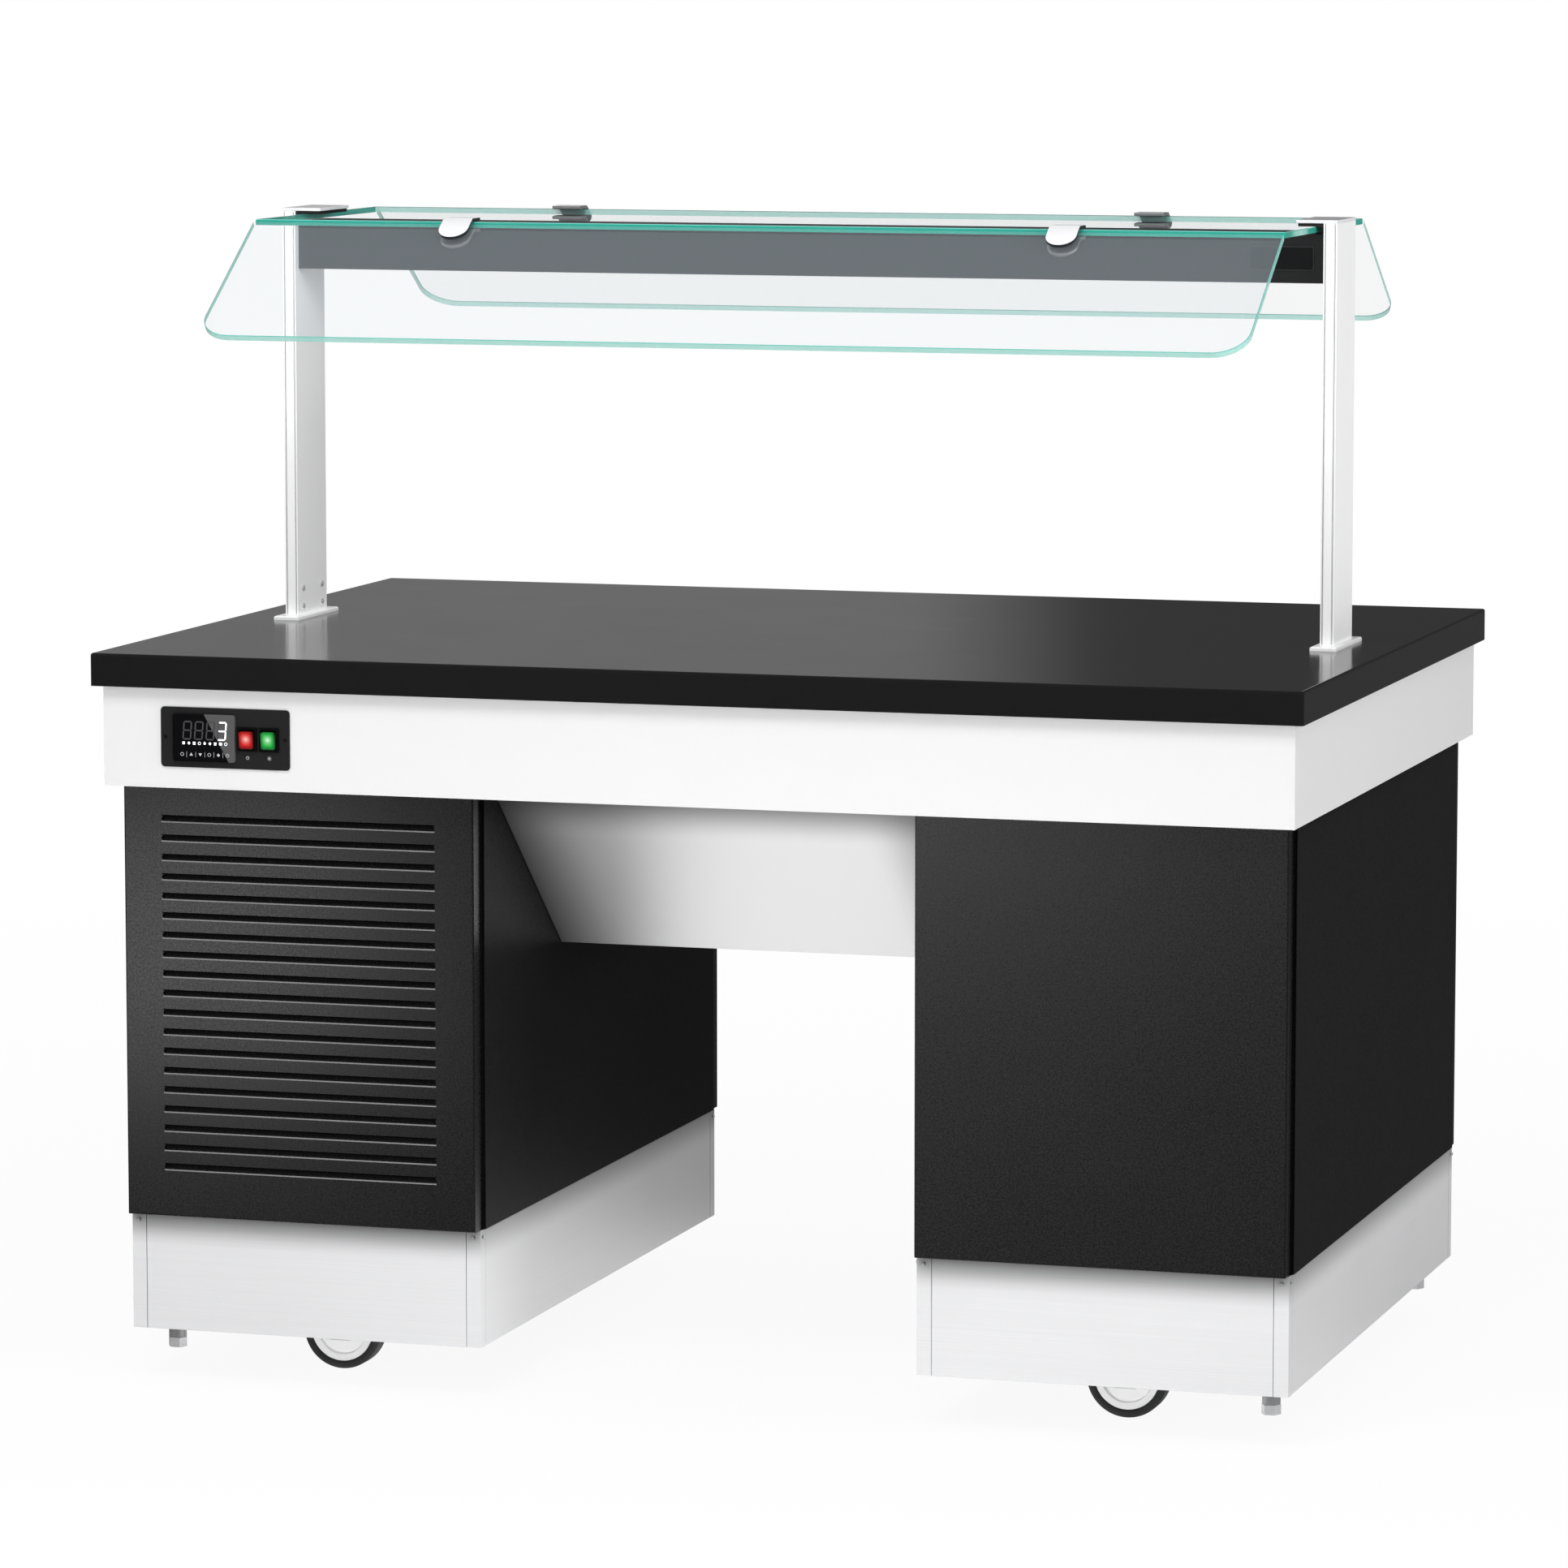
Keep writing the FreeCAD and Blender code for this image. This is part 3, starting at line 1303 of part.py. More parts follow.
def rocker(name, x):
    """Rocker with a shallow V face and pins at both sides, tilted to one side."""
    body = new_body(f"{name}_rocker_body")
    side = sketch_on(body, "YZ_Plane", f"{name}_rocker_side")
    sweep = ROCKER_SWEEP
    front = S.bezel_thick + S.rocker_rise
    outline(side, [
        (-front, sweep - S.rocker_vee), (-front + S.rocker_vee, ZERO), (-front, S.rocker_vee - sweep),
        (S.rocker_back, -S.rocker_back), (S.rocker_back, S.rocker_back),
    ])
    half = S.bezel_wide / 2 - S.bezel_wall - S.rocker_gap
    pad(body, f"{name}_rocker_pad", side, half * 2, midplane=True)
    pins = sketch_on(body, "YZ_Plane", f"{name}_rocker_pins")
    circle(pins, ZERO, ZERO, S.rocker_pin / 2)
    pad(body, f"{name}_rocker_pin_pad", pins, (half + S.rocker_pin_long) * 2, midplane=True)
    face_y = -APRON_Y - S.control_thick
    place(body, x, face_y, CONTROL_Z, Rotation(ALONG_X, S.rocker_tilt.number))
    node(body, f"rocker_switch_{name}")


def controls():
    control_plate()
    controller()
    rocker_bezels()
    rocker("red", RED_X)
    rocker("green", GREEN_X)


# Canopy

def post_outline(item):
    """The post's flat profile with a fine groove near each edge of its narrow faces."""
    low = -S.post_thick / 2
    high = S.post_thick / 2
    near = S.groove_edge
    far = near + S.groove_wide
    deep = S.groove_deep
    y = POST_Y
    front = [(low, -y), (low + near, -y), (low + near, deep - y), (low + far, deep - y), (low + far, -y),
             (high - far, -y), (high - far, deep - y), (high - near, deep - y), (high - near, -y), (high, -y)]
    back = [(x, -edge_y) for x, edge_y in reversed(front)]
    outline(item, front + back)


def posts():
    """Hollow flat posts, each welded into a bevelled foot plate."""
    body = new_body("post_body")
    section = sketch_on(body, "XY_Plane", "post_section")
    post_outline(section)
    pad(body, "post_pad", section, POST_TOP - S.top_height)
    base = sketch_on(body, "XY_Plane", "post_base")
    half_x = S.post_thick / 2 + S.foot_plate_over_x
    half_y = POST_Y + S.foot_plate_over_y
    rectangle(base, (-half_x, half_x), (-half_y, half_y))
    foot = pad(body, "post_base_pad", base, S.foot_plate_thick)
    doc.recompute()
    edge_x = half_x.number - S.foot_plate_over_x.number / 2
    edge_y = half_y.number - S.foot_plate_over_y.number / 2
    high = S.foot_plate_thick.number / 2
    low_limit = S.foot_plate_thick.number * 2

    def outer_rim(middle):
        return high < middle.z < low_limit and (abs(middle.x) > edge_x or abs(middle.y) > edge_y)

    rims = straight_edges(foot, ALONG_X, outer_rim) + straight_edges(foot, ALONG_Y, outer_rim)
    round_edges(body, "post_base_bevel", foot, rims, S.foot_plate_bevel, "Chamfer")
    hollow = sketch_on(body, "XY_Plane", "post_hollow")
    in_x = S.post_thick / 2 - S.post_wall
    in_y = POST_Y - S.post_wall * 2
    rectangle(hollow, (-in_x, in_x), (-in_y, in_y))
    pocket(body, "post_inside", hollow, POST_TOP - S.top_height, backward=True)
    holes = sketch_on(body, "YZ_Plane", "post_screw_holes")
    for y, z in dome_places():
        circle(holes, y, z - S.top_height, S.dome_shank)
    pocket(body, "post_holes", holes, S.post_thick)
    right = place(body, POST_MID, ZERO, S.top_height)
    left = mirror("left_post", right, ACROSS_X)
    node(group("post_group", [right, left]), "canopy_posts")


def dome_places():
    """Y and Z of the four domed screws at a post's foot."""
    half = S.dome_pitch_y / 2
    low = S.top_height + S.dome_low
    return [(y, z) for y in (-half, half) for z in (low, low + S.dome_pitch_z)]


def post_spigots():
    """Bars inside the post feet with a stud and nut through the slab."""
    fit = S.spigot_fit
    half_x = S.post_thick / 2 - S.post_wall - fit
    half_y = POST_Y - S.post_wall * 2 - fit
    x = POST_MID
    bar_z = (S.top_height, S.top_height + S.spigot_high)
    bar = block("spigot_bar", (x - half_x, x + half_x), (-half_y, half_y), bar_z)
    low = SLAB_LOW - S.spigot_nut_thick - S.foot_plate_thick
    stud = rod("spigot_stud_rod", x, ZERO, low, S.spigot_stud / 2, S.top_height - low)
    nut = hexagon("spigot_nut_hex", x, ZERO, SLAB_LOW - S.spigot_nut_thick, S.spigot_nut, S.spigot_nut_thick)
    whole = fuse("spigot_fuse", [bar, stud, nut])
    threads = []
    for index, (y, z) in enumerate(dome_places()):
        threads.append(rod(f"spigot_thread_{index}", x - S.post_thick, y, z, S.dome_shank, S.post_thick, "x"))
    right = cut("right_spigot", whole, threads)
    node(group("spigot_group", [right, mirror("left_spigot", right, ACROSS_X)]), "post_spigots")


def post_screws():
    """Polished domed screws on the inner face of each post foot."""
    right = []
    for index, (y, z) in enumerate(dome_places()):
        body = new_body(f"dome_{index}")
        side = sketch_on(body, "XZ_Plane", f"dome_profile_{index}")
        rim = S.dome_radius
        high = S.dome_high
        crown = [(-high * out_share, rim * rim_share) for out_share, rim_share in DOME_SHARES]
        shank = [(ZERO, S.dome_shank), (S.dome_long, S.dome_shank), (S.dome_long, ZERO)]
        outline(side, [(ZERO, ZERO), (-high, ZERO)] + crown + [(ZERO, rim)] + shank)
        revolve(body, f"dome_turn_{index}", side, "H_Axis")
        right.append(place(body, POST_IN, y, z))
    left = [mirror(f"left_of_{item.Name}", item, ACROSS_X) for item in right]
    node(group("post_screw_group", right + left), "post_screws")


def post_caps():
    """Plates over the posts that reach in over the glass."""
    top = POST_TOP + S.cap_thick
    x = (POST_IN - S.cap_reach, POST_FACE)
    cap = block("cap_block", x, (-POST_Y, POST_Y), (POST_TOP, top))
    node(group("cap_group", [cap, mirror("left_cap", cap, ACROSS_X)]), "post_caps")


def lamp_beam():
    """Folded channel between the posts, open below for the lamp."""
    body = new_body("beam_body")
    side = sketch_on(body, "YZ_Plane", "beam_profile")
    half = S.beam_depth / 2
    sheet = S.beam_sheet
    low = BEAM_LOW
    top = BEAM_TOP
    lip = half - S.beam_return
    outline(side, [
        (-half, low), (-lip, low), (-lip, low + sheet), (sheet - half, low + sheet),
        (sheet - half, top - sheet), (half - sheet, top - sheet), (half - sheet, low + sheet),
        (lip, low + sheet), (lip, low), (half, low), (half, top), (-half, top),
    ])
    pad(body, "beam_pad", side, POST_IN * 2, midplane=True)
    node(body, "lamp_beam")


def lamp():
    """Lamp strip under the beam's roof and the diffuser above its slot."""
    long = POST_IN - S.lamp_end
    half = S.lamp_strip_wide / 2
    high = BEAM_TOP - S.beam_sheet
    strip = block("strip_block", (-long, long), (-half, half), (high - S.lamp_strip_thick, high))
    node(strip, "lamp_strip")
    wide = S.beam_depth / 2 - S.beam_sheet - S.diffuser_fit
    low = BEAM_LOW + S.beam_sheet
    end = POST_IN - S.diffuser_fit
    node(block("diffuser_block", (-end, end), (-wide, wide), (low, low + S.diffuser_thick)), "lamp_diffuser")
    x = (NAME_X - S.name_wide / 2, NAME_X + S.name_wide / 2)
    y = -S.beam_depth / 2
    mid = (BEAM_LOW + BEAM_TOP) / 2
    z = (mid - S.name_high / 2, mid + S.name_high / 2)
    node(block("name_block", x, (y - S.name_thick, y), z), "beam_nameplate")


def sloped(item):
    """Puts a piece drawn level at the front ridge on the slope of the front pane."""
    return place(item, ZERO, -RIDGE_Y, GLASS_TOP, Rotation(ALONG_X, S.pane_slope.number))


def glass():
    """Level top pane and the two sloping panes with rounded lower corners."""
    edge_y = RIDGE_Y - S.ridge_gap
    half = GLASS_HALF
    node(block("top_pane", (-half, half), (-edge_y, edge_y), (GLASS_LOW, GLASS_TOP)), "glass_top")
    body = new_body("front_pane_body")
    face = sketch_on(body, "XY_Plane", "front_pane_outline")
    rectangle(face, (-half, half), (-S.pane_long, -S.ridge_gap))
    pane = pad(body, "front_pane_pad", face, S.glass_thick, backward=True)
    doc.recompute()
    middle_y = -S.pane_long.number / 2

    def lower(middle):
        return middle.y < middle_y

    round_edges(body, "front_pane_corners", pane, straight_edges(pane, UP, lower), S.pane_round)
    sloped(body)
    node(body, "glass_front")
    node(mirror("rear_pane", body, ACROSS_Y), "glass_rear")


def ridge_shift(depth):
    """How far from the ridge two faces at this depth under the panes meet."""
    slope = S.pane_slope
    return depth * (Size(1, "1") - slope.cosine()) / slope.sine()


def clamp_tongue(name, level, start):
    """The D-shaped plate of a clamp on one face of the sloping pane."""
    body = new_body(name)
    face = sketch_on(body, "XY_Plane", f"{name}_outline", level)
    tongue(face, S.clamp_wide / 2, -start, S.clamp_long)
    pad(body, f"{name}_pad", face, S.clamp_thick)
    return place(body, CLAMP_X, -RIDGE_Y, GLASS_TOP, Rotation(ALONG_X, S.pane_slope.number))


def clamp_pair(name, tab_z, level, start):
    """A tongue and its level tab, at the four places on the ridges."""
    half = S.clamp_wide / 2
    x = (CLAMP_X - half, CLAMP_X + half)
    tab_y = (start - RIDGE_Y, S.clamp_tab - RIDGE_Y)
    tab = block(f"{name}_tab", x, tab_y, tab_z)
    front_right = fuse(f"{name}_front_right", [clamp_tongue(f"{name}_tongue", level, start), tab])
    front_left = mirror(f"{name}_front_left", front_right, ACROSS_X)
    rear = [mirror(f"{name}_rear_{i}", item, ACROSS_Y) for i, item in enumerate((front_right, front_left))]
    return [front_right, front_left] + rear


def clamps():
    """Outer and inner clamp plates, with pins through the gap at the ridge."""
    thick = S.clamp_thick
    gap = S.clamp_pad
    outer_z = (GLASS_TOP + gap, GLASS_TOP + gap + thick)
    inner_z = (GLASS_LOW - gap - thick, GLASS_LOW - gap)
    outer = clamp_pair("clamp_outer", outer_z, gap, ridge_shift(-gap - thick))
    node(group("clamp_outer_group", outer), "clamp_outer_plates")
    inner_start = ridge_shift(S.glass_thick + gap)
    inner = clamp_pair("clamp_inner", inner_z, -S.glass_thick - gap - thick, inner_start)
    pins = []
    pin_y = -RIDGE_Y + S.clamp_pin
    for index, way in enumerate((-1, 1)):
        x = CLAMP_X + S.clamp_pin_pitch / 2 * way
        pin_long = S.glass_thick + gap * 2
        pins.append(rod(f"clamp_pin_{index}", x, pin_y, GLASS_LOW - gap, S.clamp_pin, pin_long))
    left = [mirror(f"left_{item.Name}", item, ACROSS_X) for item in pins]
    rear = [mirror(f"rear_{item.Name}", item, ACROSS_Y) for item in pins + left]
    node(group("clamp_inner_group", inner + pins + left + rear), "clamp_inner_plates")


def glass_pads():
    """Soft pads between glass and metal at caps, beam and clamps."""
    inset = S.pad_inset
    x = (POST_IN - S.cap_reach + inset, POST_IN)
    y = (inset - POST_Y, POST_Y - inset)
    cap_pad = block("cap_pad", x, y, (GLASS_TOP, POST_TOP))
    items = [cap_pad, mirror("left_cap_pad", cap_pad, ACROSS_X)]
    end = GLASS_HALF
    for index, way in enumerate((-1, 1)):
        mid = (S.beam_depth / 2 - S.beam_return) * way
        strip_y = (mid - S.beam_return / 2, mid + S.beam_return / 2)
        items.append(block(f"beam_pad_{index}", (-end, end), strip_y, (BEAM_TOP, GLASS_LOW)))
    half = S.clamp_wide / 2 - inset
    tab_y = (S.ridge_gap - RIDGE_Y, S.clamp_tab - RIDGE_Y - inset)
    upper = (GLASS_TOP, GLASS_TOP + S.clamp_pad)
    lower = (GLASS_LOW - S.clamp_pad, GLASS_LOW)
    for name, z in (("upper", upper), ("lower", lower)):
        right = block(f"clamp_pad_{name}", (CLAMP_X - half, CLAMP_X + half), tab_y, z)
        left = mirror(f"left_pad_{name}", right, ACROSS_X)
        items += [right, left]
        for side, item in (("right", right), ("left", left)):
            items.append(mirror(f"rear_{side}_pad_{name}", item, ACROSS_Y))
    node(group("pad_group", items), "glass_pads")


# Condensing unit in the left cabinet

def unit_base():
    """Folded tray on the cabinet floor with four rubber mounts."""
    half = UNIT_HALF
    x = (UNIT_X - half, UNIT_X + half)
    y = (UNIT_FRONT, UNIT_BACK)
    sheet = S.unit_sheet
    outer = block("unit_tray_outer", x, y, (UNIT_LOW, UNIT_LOW + S.unit_lip))
    room = block("unit_tray_room", (x[0] + sheet, x[1] - sheet), (y[0] + sheet, y[1] - sheet),
                 (UNIT_LOW + sheet, UNIT_LOW + S.unit_lip + S.overrun))
    tray = cut("unit_tray", outer, [room])
    mounts = []
    for index, (mount_x, mount_y) in enumerate(mount_places()):
        low = UNIT_LOW + sheet
        mounts.append(rod(f"unit_mount_{index}", mount_x, mount_y, low, S.mount_radius, S.mount_high))
    feet = []
    reach = CONDENSER_HALF
    for index, way in enumerate((-1, 1)):
        x_mid = UNIT_X + (reach - S.mount_inset) * way
        foot_x = (x_mid - S.mount_inset, x_mid + S.mount_inset)
        foot_y = (condenser_front(), condenser_back())
        feet.append(block(f"unit_foot_{index}", foot_x, foot_y, (UNIT_LOW + sheet, CONDENSER_LOW)))
    node(group("unit_base_group", [tray] + mounts + feet), "condensing_unit_base")


def mount_places():
    half_x = COMPRESSOR_FOOT - S.mount_inset
    half_y = S.compressor_foot_wide / 2 - S.mount_inset
    return [(UNIT_X + half_x * i, COMPRESSOR_Y + half_y * j) for i in (-1, 1) for j in (-1, 1)]


def condenser_front():
    return UNIT_FRONT + S.condenser_inset


def condenser_back():
    return condenser_front() + S.condenser_deep


def condenser():
    """Finned block with tubes across it, between two end plates."""
    y = (condenser_front(), condenser_back())
    z = (CONDENSER_LOW, CONDENSER_LOW + CONDENSER_HIGH)
    half = CONDENSER_HALF
    items = []
    for index in range(FIN_COUNT):
        x = UNIT_X + FIN_PITCH * (index - (FIN_COUNT - 1) / 2)
        items.append(block(f"fin_{index}", (x - S.fin_thick / 2, x + S.fin_thick / 2), y, z))
    for index, way in enumerate((-1, 1)):
        edge = UNIT_X + half * way
        inner = edge - S.condenser_end * way
        x = (inner, edge) if way > 0 else (edge, inner)
        items.append(block(f"condenser_end_{index}", x, y, z))
    mid_y = (y[0] + y[1]) / 2
    for index in range(CONDENSER_TUBES):
        height = z[0] + CONDENSER_HIGH / 2 + CONDENSER_PITCH * (index - (CONDENSER_TUBES - 1) / 2)
        items.append(rod(f"condenser_tube_{index}", UNIT_X - half, mid_y, height, S.condenser_tube,
                         CONDENSER_HALF * 2, "x"))
    node(fuse("condenser_fuse", items), "condenser_coil")


def fan_centre_z():
    return CONDENSER_LOW + CONDENSER_HIGH / 2


def fan_shroud():
    """Sheet ring behind the condenser with arms that carry the fan motor."""
    y = (condenser_back(), condenser_back() + S.shroud_deep)
    half = CONDENSER_HALF
    z = (CONDENSER_LOW, CONDENSER_LOW + CONDENSER_HIGH)
    box = block("shroud_box", (UNIT_X - half, UNIT_X + half), y, z)
    sheet = S.shroud_sheet
    room_y = (y[0] - S.overrun, y[1] - sheet)
    room_x = (UNIT_X - half + sheet, UNIT_X + half - sheet)
    room = block("shroud_room", room_x, room_y, (z[0] + sheet, z[1] - sheet))
    mouth_radius = FAN_R + S.fan_gap
    mouth = rod("shroud_mouth", UNIT_X, y[0], fan_centre_z(), mouth_radius, S.shroud_deep * 2, "y")
    ring = cut("shroud_ring", box, [room, mouth])
    arm = S.motor_arm / 2
    arms = [
        block("shroud_arm_left", (UNIT_X - half, UNIT_X - S.motor_radius), (y[1], y[1] + sheet),
              (fan_centre_z() - arm, fan_centre_z() + arm)),
        block("shroud_arm_right", (UNIT_X + S.motor_radius, UNIT_X + half), (y[1], y[1] + sheet),
              (fan_centre_z() - arm, fan_centre_z() + arm)),
    ]
    hoop = rod("shroud_hoop", UNIT_X, y[1], fan_centre_z(), S.motor_radius + sheet, S.motor_arm, "y")
    hoop_room = rod("shroud_hoop_room", UNIT_X, y[1] - S.overrun, fan_centre_z(), S.motor_radius,
                    S.motor_arm + S.overrun * 2, "y")
    holder = cut("shroud_holder", fuse("shroud_arms", arms + [hoop]), [hoop_room])
    node(fuse("shroud_fuse", [ring, holder]), "fan_shroud")


def motor_front():
    return condenser_back() + S.shroud_deep


def fan_motor():
    """Motor held in the shroud's hoop, with a bore for the fan shaft."""
    z = fan_centre_z()
    can = rod("motor_can", UNIT_X, motor_front(), z, S.motor_radius, S.motor_long, "y")
    bore = rod("motor_bore", UNIT_X, motor_front() - S.overrun, z, S.fan_shaft / 2 + S.fan_shaft_fit,
               S.motor_long / 2 + S.overrun, "y")
    node(cut("motor_cut", can, [bore]), "fan_motor")


def fan_rotor():
    """Fan hub with its shaft and pitched blades, turned about the Y axis."""
    body = new_body("fan_body")
    hub = sketch_on(body, "XZ_Plane", "fan_hub_circle")
    circle(hub, ZERO, ZERO, S.fan_hub)
    pad(body, "fan_hub_pad", hub, S.fan_hub_long)
    shaft = sketch_on(body, "XZ_Plane", "fan_shaft_circle")
    circle(shaft, ZERO, ZERO, S.fan_shaft / 2)
    shaft_long = S.motor_long / 2 - S.shaft_end_gap + S.race_gap
    pad(body, "fan_shaft_pad", shaft, shaft_long, backward=True)
    blade = sketch_on(body, "YZ_Plane", "fan_blade_profile", S.fan_hub / 2)
    low_y = -S.fan_hub_long
    half = S.blade_rise / 2
    outline(blade, [
        (low_y, -half), (low_y + S.blade_thick, -half), (ZERO, half), (-S.blade_thick, half),
    ])
    wing = pad(body, "fan_blade", blade, FAN_R - S.fan_hub / 2)
    ring = body.newObject("PartDesign::PolarPattern", "fan_blades")
    ring.Originals = [wing]
    ring.Axis = (hub, ["N_Axis"])
    ring.Occurrences = BLADE_COUNT
    ring.Angle = FULL_TURN
    body.Tip = ring
    place(body, UNIT_X, motor_front() - S.race_gap, fan_centre_z())
    node(body, "fan_rotor")


def compressor():
    """Hermetic compressor shell on its foot plate."""
    body = new_body("compressor_body")
    shell = sketch_on(body, "XZ_Plane", "compressor_profile")
    radius = COMPRESSOR_R
    rectangle(shell, (ZERO, radius), (ZERO, COMPRESSOR_HIGH))
    pot = revolve(body, "compressor_turn", shell, "V_Axis")
    doc.recompute()
    rims = []
    for index, edge in enumerate(pot.Shape.Edges, start=1):
        if edge.Curve.TypeId == "Part::GeomCircle":
            rims.append(f"Edge{index}")
    round_edges(body, "compressor_domes", pot, rims, S.compressor_round)
    low = UNIT_LOW + S.unit_sheet + S.mount_high
    place(body, UNIT_X, COMPRESSOR_Y, low + S.compressor_foot_thick - S.compressor_seat)
    half = COMPRESSOR_FOOT
    wide = S.compressor_foot_wide / 2
    plate = block("compressor_foot_plate", (UNIT_X - half, UNIT_X + half),
                  (COMPRESSOR_Y - wide, COMPRESSOR_Y + wide), (low, low + S.compressor_foot_thick))
    node(fuse("compressor_fuse", [body, plate]), "compressor")


def refrigerant_lines():
    """Copper lines from the unit up to the two ends of the coil, and the drier."""
    low = UNIT_LOW + S.unit_sheet + S.mount_high + S.compressor_foot_thick
    mid = low + COMPRESSOR_HIGH / 2
    (suction_x, front_y), (liquid_x, back_y) = line_ends()
    rise = SLAB_LOW - S.plate_thick - S.coil_gap * 2 - S.coil_tube
    clear = COMPRESSOR_R + S.coil_gap
    over = CONDENSER_LOW + CONDENSER_HIGH + S.line_bend
    suction = [
        point(UNIT_X - clear, COMPRESSOR_Y, mid),
        point(suction_x, COMPRESSOR_Y, mid),
        point(suction_x, COMPRESSOR_Y, over),
        point(suction_x, front_y, over),
        point(suction_x, front_y, rise),
    ]
    tail_x = UNIT_X + CONDENSER_HALF + S.coil_gap
    tube_y = (condenser_front() + condenser_back()) / 2
    first_tube = CONDENSER_LOW + CONDENSER_HIGH / 2 + CONDENSER_PITCH * (CONDENSER_TUBES - 1) / 2
    low_tube = first_tube - CONDENSER_PITCH * (CONDENSER_TUBES - 1)
    out_x = tail_x + S.line_clear
    discharge = [
        point(UNIT_X + clear, COMPRESSOR_Y, mid),
        point(out_x, COMPRESSOR_Y, mid),
        point(out_x, tube_y, mid),
        point(out_x, tube_y, first_tube),
        point(tail_x, tube_y, first_tube),
    ]
    drier_y = UNIT_BACK - S.mount_inset
    liquid = [
        point(tail_x, tube_y, low_tube),
        point(out_x + S.line_bend, tube_y, low_tube),
        point(out_x + S.line_bend, drier_y, low_tube),
        point(out_x + S.line_bend, drier_y, mid),
    ]
    drier = rod("drier_can", out_x + S.line_bend, drier_y, mid, S.drier_radius, S.drier_long)
    top = mid + S.drier_long
    feed = [
        point(out_x + S.line_bend, drier_y, top),
        point(out_x + S.line_bend, drier_y, top + S.drier_long),
        point(liquid_x, drier_y, top + S.drier_long),
        point(liquid_x, back_y, top + S.drier_long),
        point(liquid_x, back_y, rise),
    ]
    items = [drier]
    for name, points in (("suction", suction), ("discharge", discharge), ("liquid", liquid), ("feed", feed)):
        shape = tube(points, S.line_radius.number, S.line_bend.number)
        items.append(plain(f"{name}_line", shape))
    node(group("line_group", items), "refrigerant_lines")


def electrical_box():
    """Box on the inside of the left rear panel, and the inlet gland below it."""
    half = S.box_wide / 2
    x = (BOX_X - half, BOX_X + half)
    back = CABINET_Y - S.panel_sheet
    z = (BOX_LOW, BOX_LOW + S.box_high)
    box = block("terminal_box", x, (back - S.box_deep, back), z)
    gland_z = GLAND_Z
    long = S.gland_long
    body = rod("gland_barrel", BOX_X, back - long, gland_z, S.gland_radius, long * 2, "y")
    nuts = []
    for name, y in (("inner", back - S.gland_nut_thick), ("outer", CABINET_Y)):
        nuts.append(hexagon(f"gland_nut_{name}", BOX_X, y, gland_z, S.gland_nut, S.gland_nut_thick, "y"))
    bore = rod("gland_bore_hole", BOX_X, back - long - S.overrun, gland_z, S.gland_bore, long * 3, "y")
    gland = cut("gland_cut", fuse("gland_fuse", [body] + nuts), [bore])
    node(group("electrical_group", [box, gland]), "electrical_box")


# The whole counter

def build():
    worktop()
    apron_tray()
    insulation()
    evaporator()
    trough()
    frames()
    side_panels()
    front_panels()
    rear_panels()
    plinth()
    screws()
    castors()
    controls()
    posts()
    post_spigots()
    post_screws()
    post_caps()
    lamp_beam()
    lamp()
    glass()
    clamps()
    glass_pads()
    unit_base()
    condenser()
    fan_shroud()
    fan_motor()
    fan_rotor()
    compressor()
    refrigerant_lines()
    electrical_box()


def faults():
    """Objects that failed to build and nodes without a sound solid."""
    found = []
    for item in doc.Objects:
        if "Invalid" in item.State or "Error" in item.State:
            found.append(f"{item.Label}: {item.State}")
    for label, item in NODES:
        shape = item.Shape
        if shape.isNull() or not shape.isValid() or not shape.Solids:
            found.append(f"{label}: shape is not a sound solid")
    return found


def write():
    os.makedirs("parts", exist_ok=True)
    for label, item in NODES:
        item.Shape.exportStep(f"parts/{label}.step")
        box = item.Shape.BoundBox
        spans = " ".join(f"{low:.1f}..{high:.1f}" for low, high in (
            (box.XMin, box.XMax), (box.YMin, box.YMax), (box.ZMin, box.ZMax)))
        print(f"{label}: {len(item.Shape.Solids)} solids, {item.Shape.Volume / 1000:.1f} cm3, {spans}")


build()
doc.recompute()
problems = faults()
if problems:
    raise RuntimeError("\n".join(problems))
write()
print(len(NODES), "nodes")
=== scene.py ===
"""A chilled self-service counter with a dark stone top, two cabinets and a glass canopy."""

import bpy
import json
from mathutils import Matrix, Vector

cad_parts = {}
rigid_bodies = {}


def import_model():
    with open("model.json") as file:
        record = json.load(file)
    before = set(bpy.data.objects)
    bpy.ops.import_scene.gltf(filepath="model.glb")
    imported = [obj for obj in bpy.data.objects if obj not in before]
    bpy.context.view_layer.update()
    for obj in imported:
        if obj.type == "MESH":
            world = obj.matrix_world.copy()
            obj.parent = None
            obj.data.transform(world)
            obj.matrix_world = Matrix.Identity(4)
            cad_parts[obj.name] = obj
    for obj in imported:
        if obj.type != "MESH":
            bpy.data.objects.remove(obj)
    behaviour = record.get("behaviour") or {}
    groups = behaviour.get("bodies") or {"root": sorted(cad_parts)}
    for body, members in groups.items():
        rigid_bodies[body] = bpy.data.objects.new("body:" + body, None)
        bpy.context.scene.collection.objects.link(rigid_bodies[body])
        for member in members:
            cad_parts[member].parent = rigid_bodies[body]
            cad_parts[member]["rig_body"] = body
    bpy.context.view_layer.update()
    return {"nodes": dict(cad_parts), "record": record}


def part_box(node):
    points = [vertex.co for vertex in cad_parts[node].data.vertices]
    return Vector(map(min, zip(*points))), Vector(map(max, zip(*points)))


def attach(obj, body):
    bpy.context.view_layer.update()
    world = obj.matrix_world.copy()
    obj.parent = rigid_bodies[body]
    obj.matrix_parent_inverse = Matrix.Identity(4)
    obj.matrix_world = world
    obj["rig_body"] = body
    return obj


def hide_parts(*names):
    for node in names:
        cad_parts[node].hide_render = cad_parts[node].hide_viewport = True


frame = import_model()

